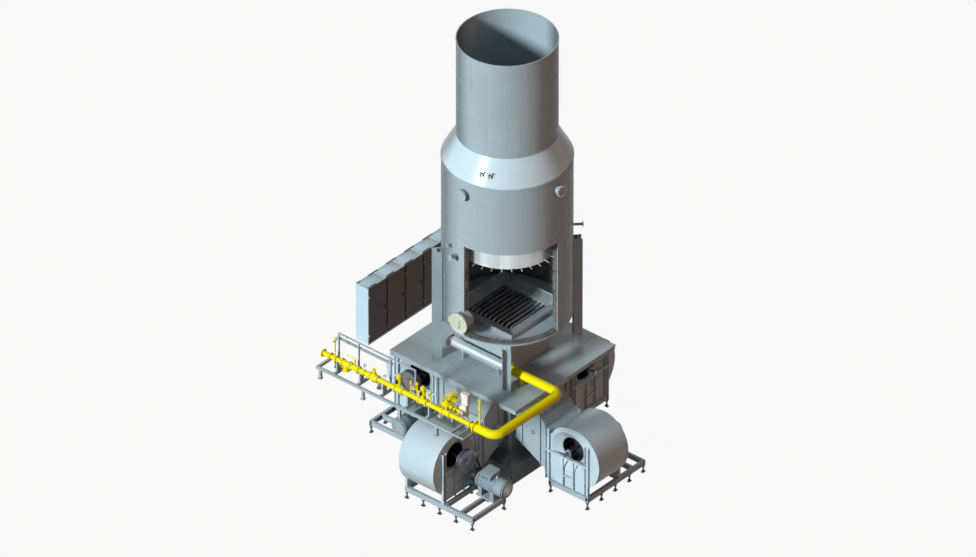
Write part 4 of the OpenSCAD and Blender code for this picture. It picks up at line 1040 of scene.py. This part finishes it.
box_x0, box_z = MOTOR_X0 + 0.18, MOTOR_Z + 0.38
lid = sloping_lid((box_x0 - 0.03, MOTOR_Y - 0.26, box_z + 0.0005),
                  (box_x0 + 0.45, MOTOR_Y + 0.26, box_z + 0.115), 0.08)
eye = moved(hoop(0.040, round_section(0.010), 40),
            frame_to((MOTOR_X0 + 0.70, MOTOR_Y, MOTOR_Z + 0.325), (0, 1, 0)))
gland = [((box_x0 + 0.1 + 0.11 * i, MOTOR_Y - 0.229, box_z - 0.075), (0, -1, 0)) for i in range(3)]
make_piece("motor_box_lids", four([lid]), "motor_paint")
make_piece("motor_eyes", four([eye]), "zinc_bolts")
make_piece("motor_glands", four_nuts(gland, 0.05, 0.03, 0.3), "dial_black")

front_nuts = circle_of((MOTOR_X0 + 0.060, MOTOR_Y, MOTOR_Z), (1, 0, 0), 0.284, 8)
front_nuts += circle_of((MOTOR_X0 + 0.001, MOTOR_Y, MOTOR_Z), (-1, 0, 0), 0.255, 8)
plate_nuts = [((MOTOR_X0 + x, MOTOR_Y + y, 0.5200), (0, 0, 1))
              for x in (0.085, 0.40, 0.805) for y in (-0.318, 0.318)]
make_piece("motor_bolts", four_nuts(front_nuts, 0.026, 0.012) + four_nuts(plate_nuts, 0.034, 0.018),
           "zinc_bolts")

bearing_nuts = [((s * (CASING_HALF + 0.045), SHAFT_Y + y, 1.7003), (0, 0, 1))
                for s in (-1, 1) for y in (-0.155, 0.155)]
cap_nuts = []
for s in (-1, 1):
    cap_nuts += circle_of((s * (CASING_HALF + 0.080), SHAFT_Y, SHAFT_Z), (s, 0, 0), 0.088, 6)
nipple = [moved(lathe([(0, 0), (0.010, 0), (0.010, 0.012), (0.005, 0.018), (0.007, 0.026),
                       (0, 0.030)], 12),
                frame_to((s * (CASING_HALF + 0.045), SHAFT_Y, SHAFT_Z + 0.108)))
          for s in (-1, 1)]
make_piece("bearing_bolts",
           four_nuts(bearing_nuts, 0.042, 0.022) + four_nuts(cap_nuts, 0.020, 0.010), "zinc_bolts")
make_piece("grease_nipples", four(nipple), "zinc_bolts")

# %% [markdown]
# The ducts' flanges
#
# The fan's outlet and the duct meet in a rectangular flange. A rubber strip
# lies between the two frames and a row of bolts runs round all four sides.

# %% Duct flange bolts and seal


def rectangle(x1, z0, z1, pitch):
    """Points round a rectangle in the plane of the flange, one about every pitch."""
    nx, nz = round(2 * x1 / pitch), round((z1 - z0) / pitch)
    xs, zs = np.linspace(-x1, x1, nx + 1), np.linspace(z0, z1, nz + 1)
    points = [(x, z) for x in xs for z in (z0, z1)]
    return points + [(x, z) for x in (-x1, x1) for z in zs[1:-1]]


duct_nuts = [((x, FLANGE_Y + 0.02, z), (0, 1, 0)) for x, z in rectangle(0.785, 0.705, 2.535, 0.17)]
make_piece("duct_bolts", four_nuts(duct_nuts, 0.028, 0.014), "zinc_bolts")
seal = [block((-0.813, FLANGE_Y - 0.006, z), (0.813, FLANGE_Y + 0.004, z + 0.006), 0.002)
        for z in (0.675, 2.559)]
seal += [block((x, FLANGE_Y - 0.006, 0.675), (x + 0.006, FLANGE_Y + 0.004, 2.565), 0.002)
         for x in (-0.815, 0.809)]
make_piece("duct_seals", four(seal), "black_seal")

# %% Skid feet and pulleys
SKID_X0, SKID_L, RAIL_W = -0.84, 2.95, 0.10
RAIL_YS = (-4.17, -2.57)
FOOT_T = 0.018
foot_xs = SKID_X0 + RAIL_W / 2 + np.arange(5) * (SKID_L - RAIL_W) / 4
feet_nuts = [((x + s, y, FOOT_T), (0, 0, 1)) for x in foot_xs for s in (-0.058, 0.058)
             for y in RAIL_YS]
make_piece("foot_bolts", four_nuts(feet_nuts, 0.024, 0.012), "zinc_bolts")
rubber_ring = [(0, -0.022), (0.010, -0.018), (0.016, 0), (0.010, 0.018), (0, 0.022)]
rings = [moved(hoop(0.0405, rubber_ring, 28), frame_to((x, y, 0.048)))
         for x in foot_xs for y in RAIL_YS]
make_piece("foot_rubbers", four(rings), "belt_rubber")

PULLEY_FACE_X = 1.145
for k in range(4):
    hub = circle_of((PULLEY_FACE_X, SHAFT_Y, SHAFT_Z), (1, 0, 0), 0.088, 3)
    small_hub = circle_of((PULLEY_FACE_X, MOTOR_Y, MOTOR_Z), (1, 0, 0), 0.066, 3)
    turn = [TURNS[k]]
    fan_parts = [copies(p, turn) for p in nuts_at(hub, 0.030, 0.012, 0.1)]
    motor_parts = [copies(p, turn) for p in nuts_at(small_hub, 0.022, 0.010, 0.1)]
    make_piece(f"fan_pulley_screws_{k + 1}", fan_parts, "zinc_bolts", f"fan_rotor_{k + 1}")
    make_piece(f"motor_pulley_screws_{k + 1}", motor_parts, "zinc_bolts", f"motor_rotor_{k + 1}")

# %% [markdown]
# Lance nozzles and column bolts
#
# Gas leaves each lance through rows of small nozzles along its top, two rows
# leaning left and right. They are lathes of a few faces, several hundred in
# all, and copied in one go. The columns stand on feet that are bolted down.

# %% Lance nozzles and column bolts
LANCES, GRATE_HALF, LANCE_R = 10, 0.930, 0.038
LANCE_Z = FLOOR_LOW.z + 0.03
LANCE_X = np.linspace(-0.70, 0.88, 24)
nozzle = lathe([(0, 0), (0.013, 0), (0.013, 0.012), (0.008, 0.020), (0.004, 0.020), (0, 0.014)], 8)
nozzle_at = []
for i in range(LANCES):
    y = -GRATE_HALF + (i + 0.5) * 2 * GRATE_HALF / LANCES
    for lean in (-0.55, 0.55):
        axis = (0, math.sin(lean), math.cos(lean))
        origin = np.array([0, y, LANCE_Z]) + (LANCE_R - 0.003) * np.array(axis)
        nozzle_at += [frame_to(origin + [x, 0, 0], axis) for x in LANCE_X]
make_piece("lance_nozzles", [copies(nozzle, nozzle_at)], "burner_steel")

column_nuts = []
COLUMN_R, COLUMN_FOOT_T = 2.35, 0.02
COLUMN_ANGLES = (40, 140, 220, 320)
for angle in COLUMN_ANGLES:
    for x in (-0.09, 0.0, 0.09):
        for y in (-0.10, 0.10):
            spot = np.array([COLUMN_R + x, y, DECK_TOP + COLUMN_FOOT_T])
            column_nuts.append((turned(angle)[:3, :3] @ spot, (0, 0, 1)))
make_piece("column_bolts", nuts_at(column_nuts, 0.046, 0.026), "zinc_bolts")

# %% [markdown]
# Control cabinets
#
# The cabinets' roofs carry black strips that seal the lifting rails, at the
# front on the left and at the back on the right. Each door has a folded edge
# and a small swing handle on its plate.

# %% Cabinet details
CABINETS, CABINET_W, CABINET_X, CABINET_Y = 5, 0.93, 1.71, 7.56
CABINET_D, CABINET_H, DOOR_T = 0.55, 2.27, 0.025
RAIL_D, ROOF_EDGE = 0.048, 0.075


def roof_strip(x0, x1, y0):
    """A black sealing strip on the roof, lying along x."""
    return block((x0, y0, CABINET_H - 0.002), (x1, y0 + RAIL_D, CABINET_H + 0.010), 0.004)


front_y, back_y = CABINET_Y + 0.004, CABINET_Y + CABINET_D - 0.004 - RAIL_D
strips, roof_panels = [], []
for i in range(CABINETS):
    x = CABINET_X + i * CABINET_W
    row_end = CABINET_X + CABINETS * CABINET_W
    strips.append(roof_strip(x + 0.02, x + 0.42, front_y))
    strips.append(roof_strip(x + 0.60, min(x + 1.06, row_end), back_y))
    roof_panels.append(block(
        (x + ROOF_EDGE, CABINET_Y + ROOF_EDGE, CABINET_H - 0.0118),
        (x + CABINET_W - ROOF_EDGE, CABINET_Y + CABINET_D - ROOF_EDGE, CABINET_H - 0.004), 0.003))
strips.append(roof_strip(CABINET_X, CABINET_X + 0.20, back_y))
make_piece("roof_strips", strips, "black_seal")
make_piece("roof_panels", roof_panels, "cabinet_paint")


def door_trim(x):
    """A raised edge round the door, as four soft bars, and the sunk middle left bare."""
    y0, y1 = CABINET_Y - DOOR_T - 0.0075, CABINET_Y - DOOR_T - 0.002
    left, right = x + 0.034, x + CABINET_W - 0.019
    low, high = 0.110, CABINET_H - 0.010
    bar = 0.024
    spans = [(left, low, right, low + bar), (left, high - bar, right, high),
             (left, low, left + bar, high), (right - bar, low, right, high)]
    return [block((x0, y0, z0), (x1, y1, z1), 0.003) for x0, z0, x1, z1 in spans]


for i in range(CABINETS):
    x = CABINET_X + i * CABINET_W
    body = f"cabinet_door_{i + 1}"
    make_piece(f"door_trim_{i + 1}", door_trim(x), "door_paint", body)
    plate = block((x + CABINET_W - 0.098, CABINET_Y - 0.0325, 1.00),
                  (x + CABINET_W - 0.056, CABINET_Y - 0.0275, 1.27), 0.002)
    lever = block((x + CABINET_W - 0.090, CABINET_Y - 0.063, 1.045),
                  (x + CABINET_W - 0.064, CABINET_Y - 0.0552, 1.225), 0.004)
    make_piece(f"door_handle_{i + 1}", [plate, lever], "dial_black", body)
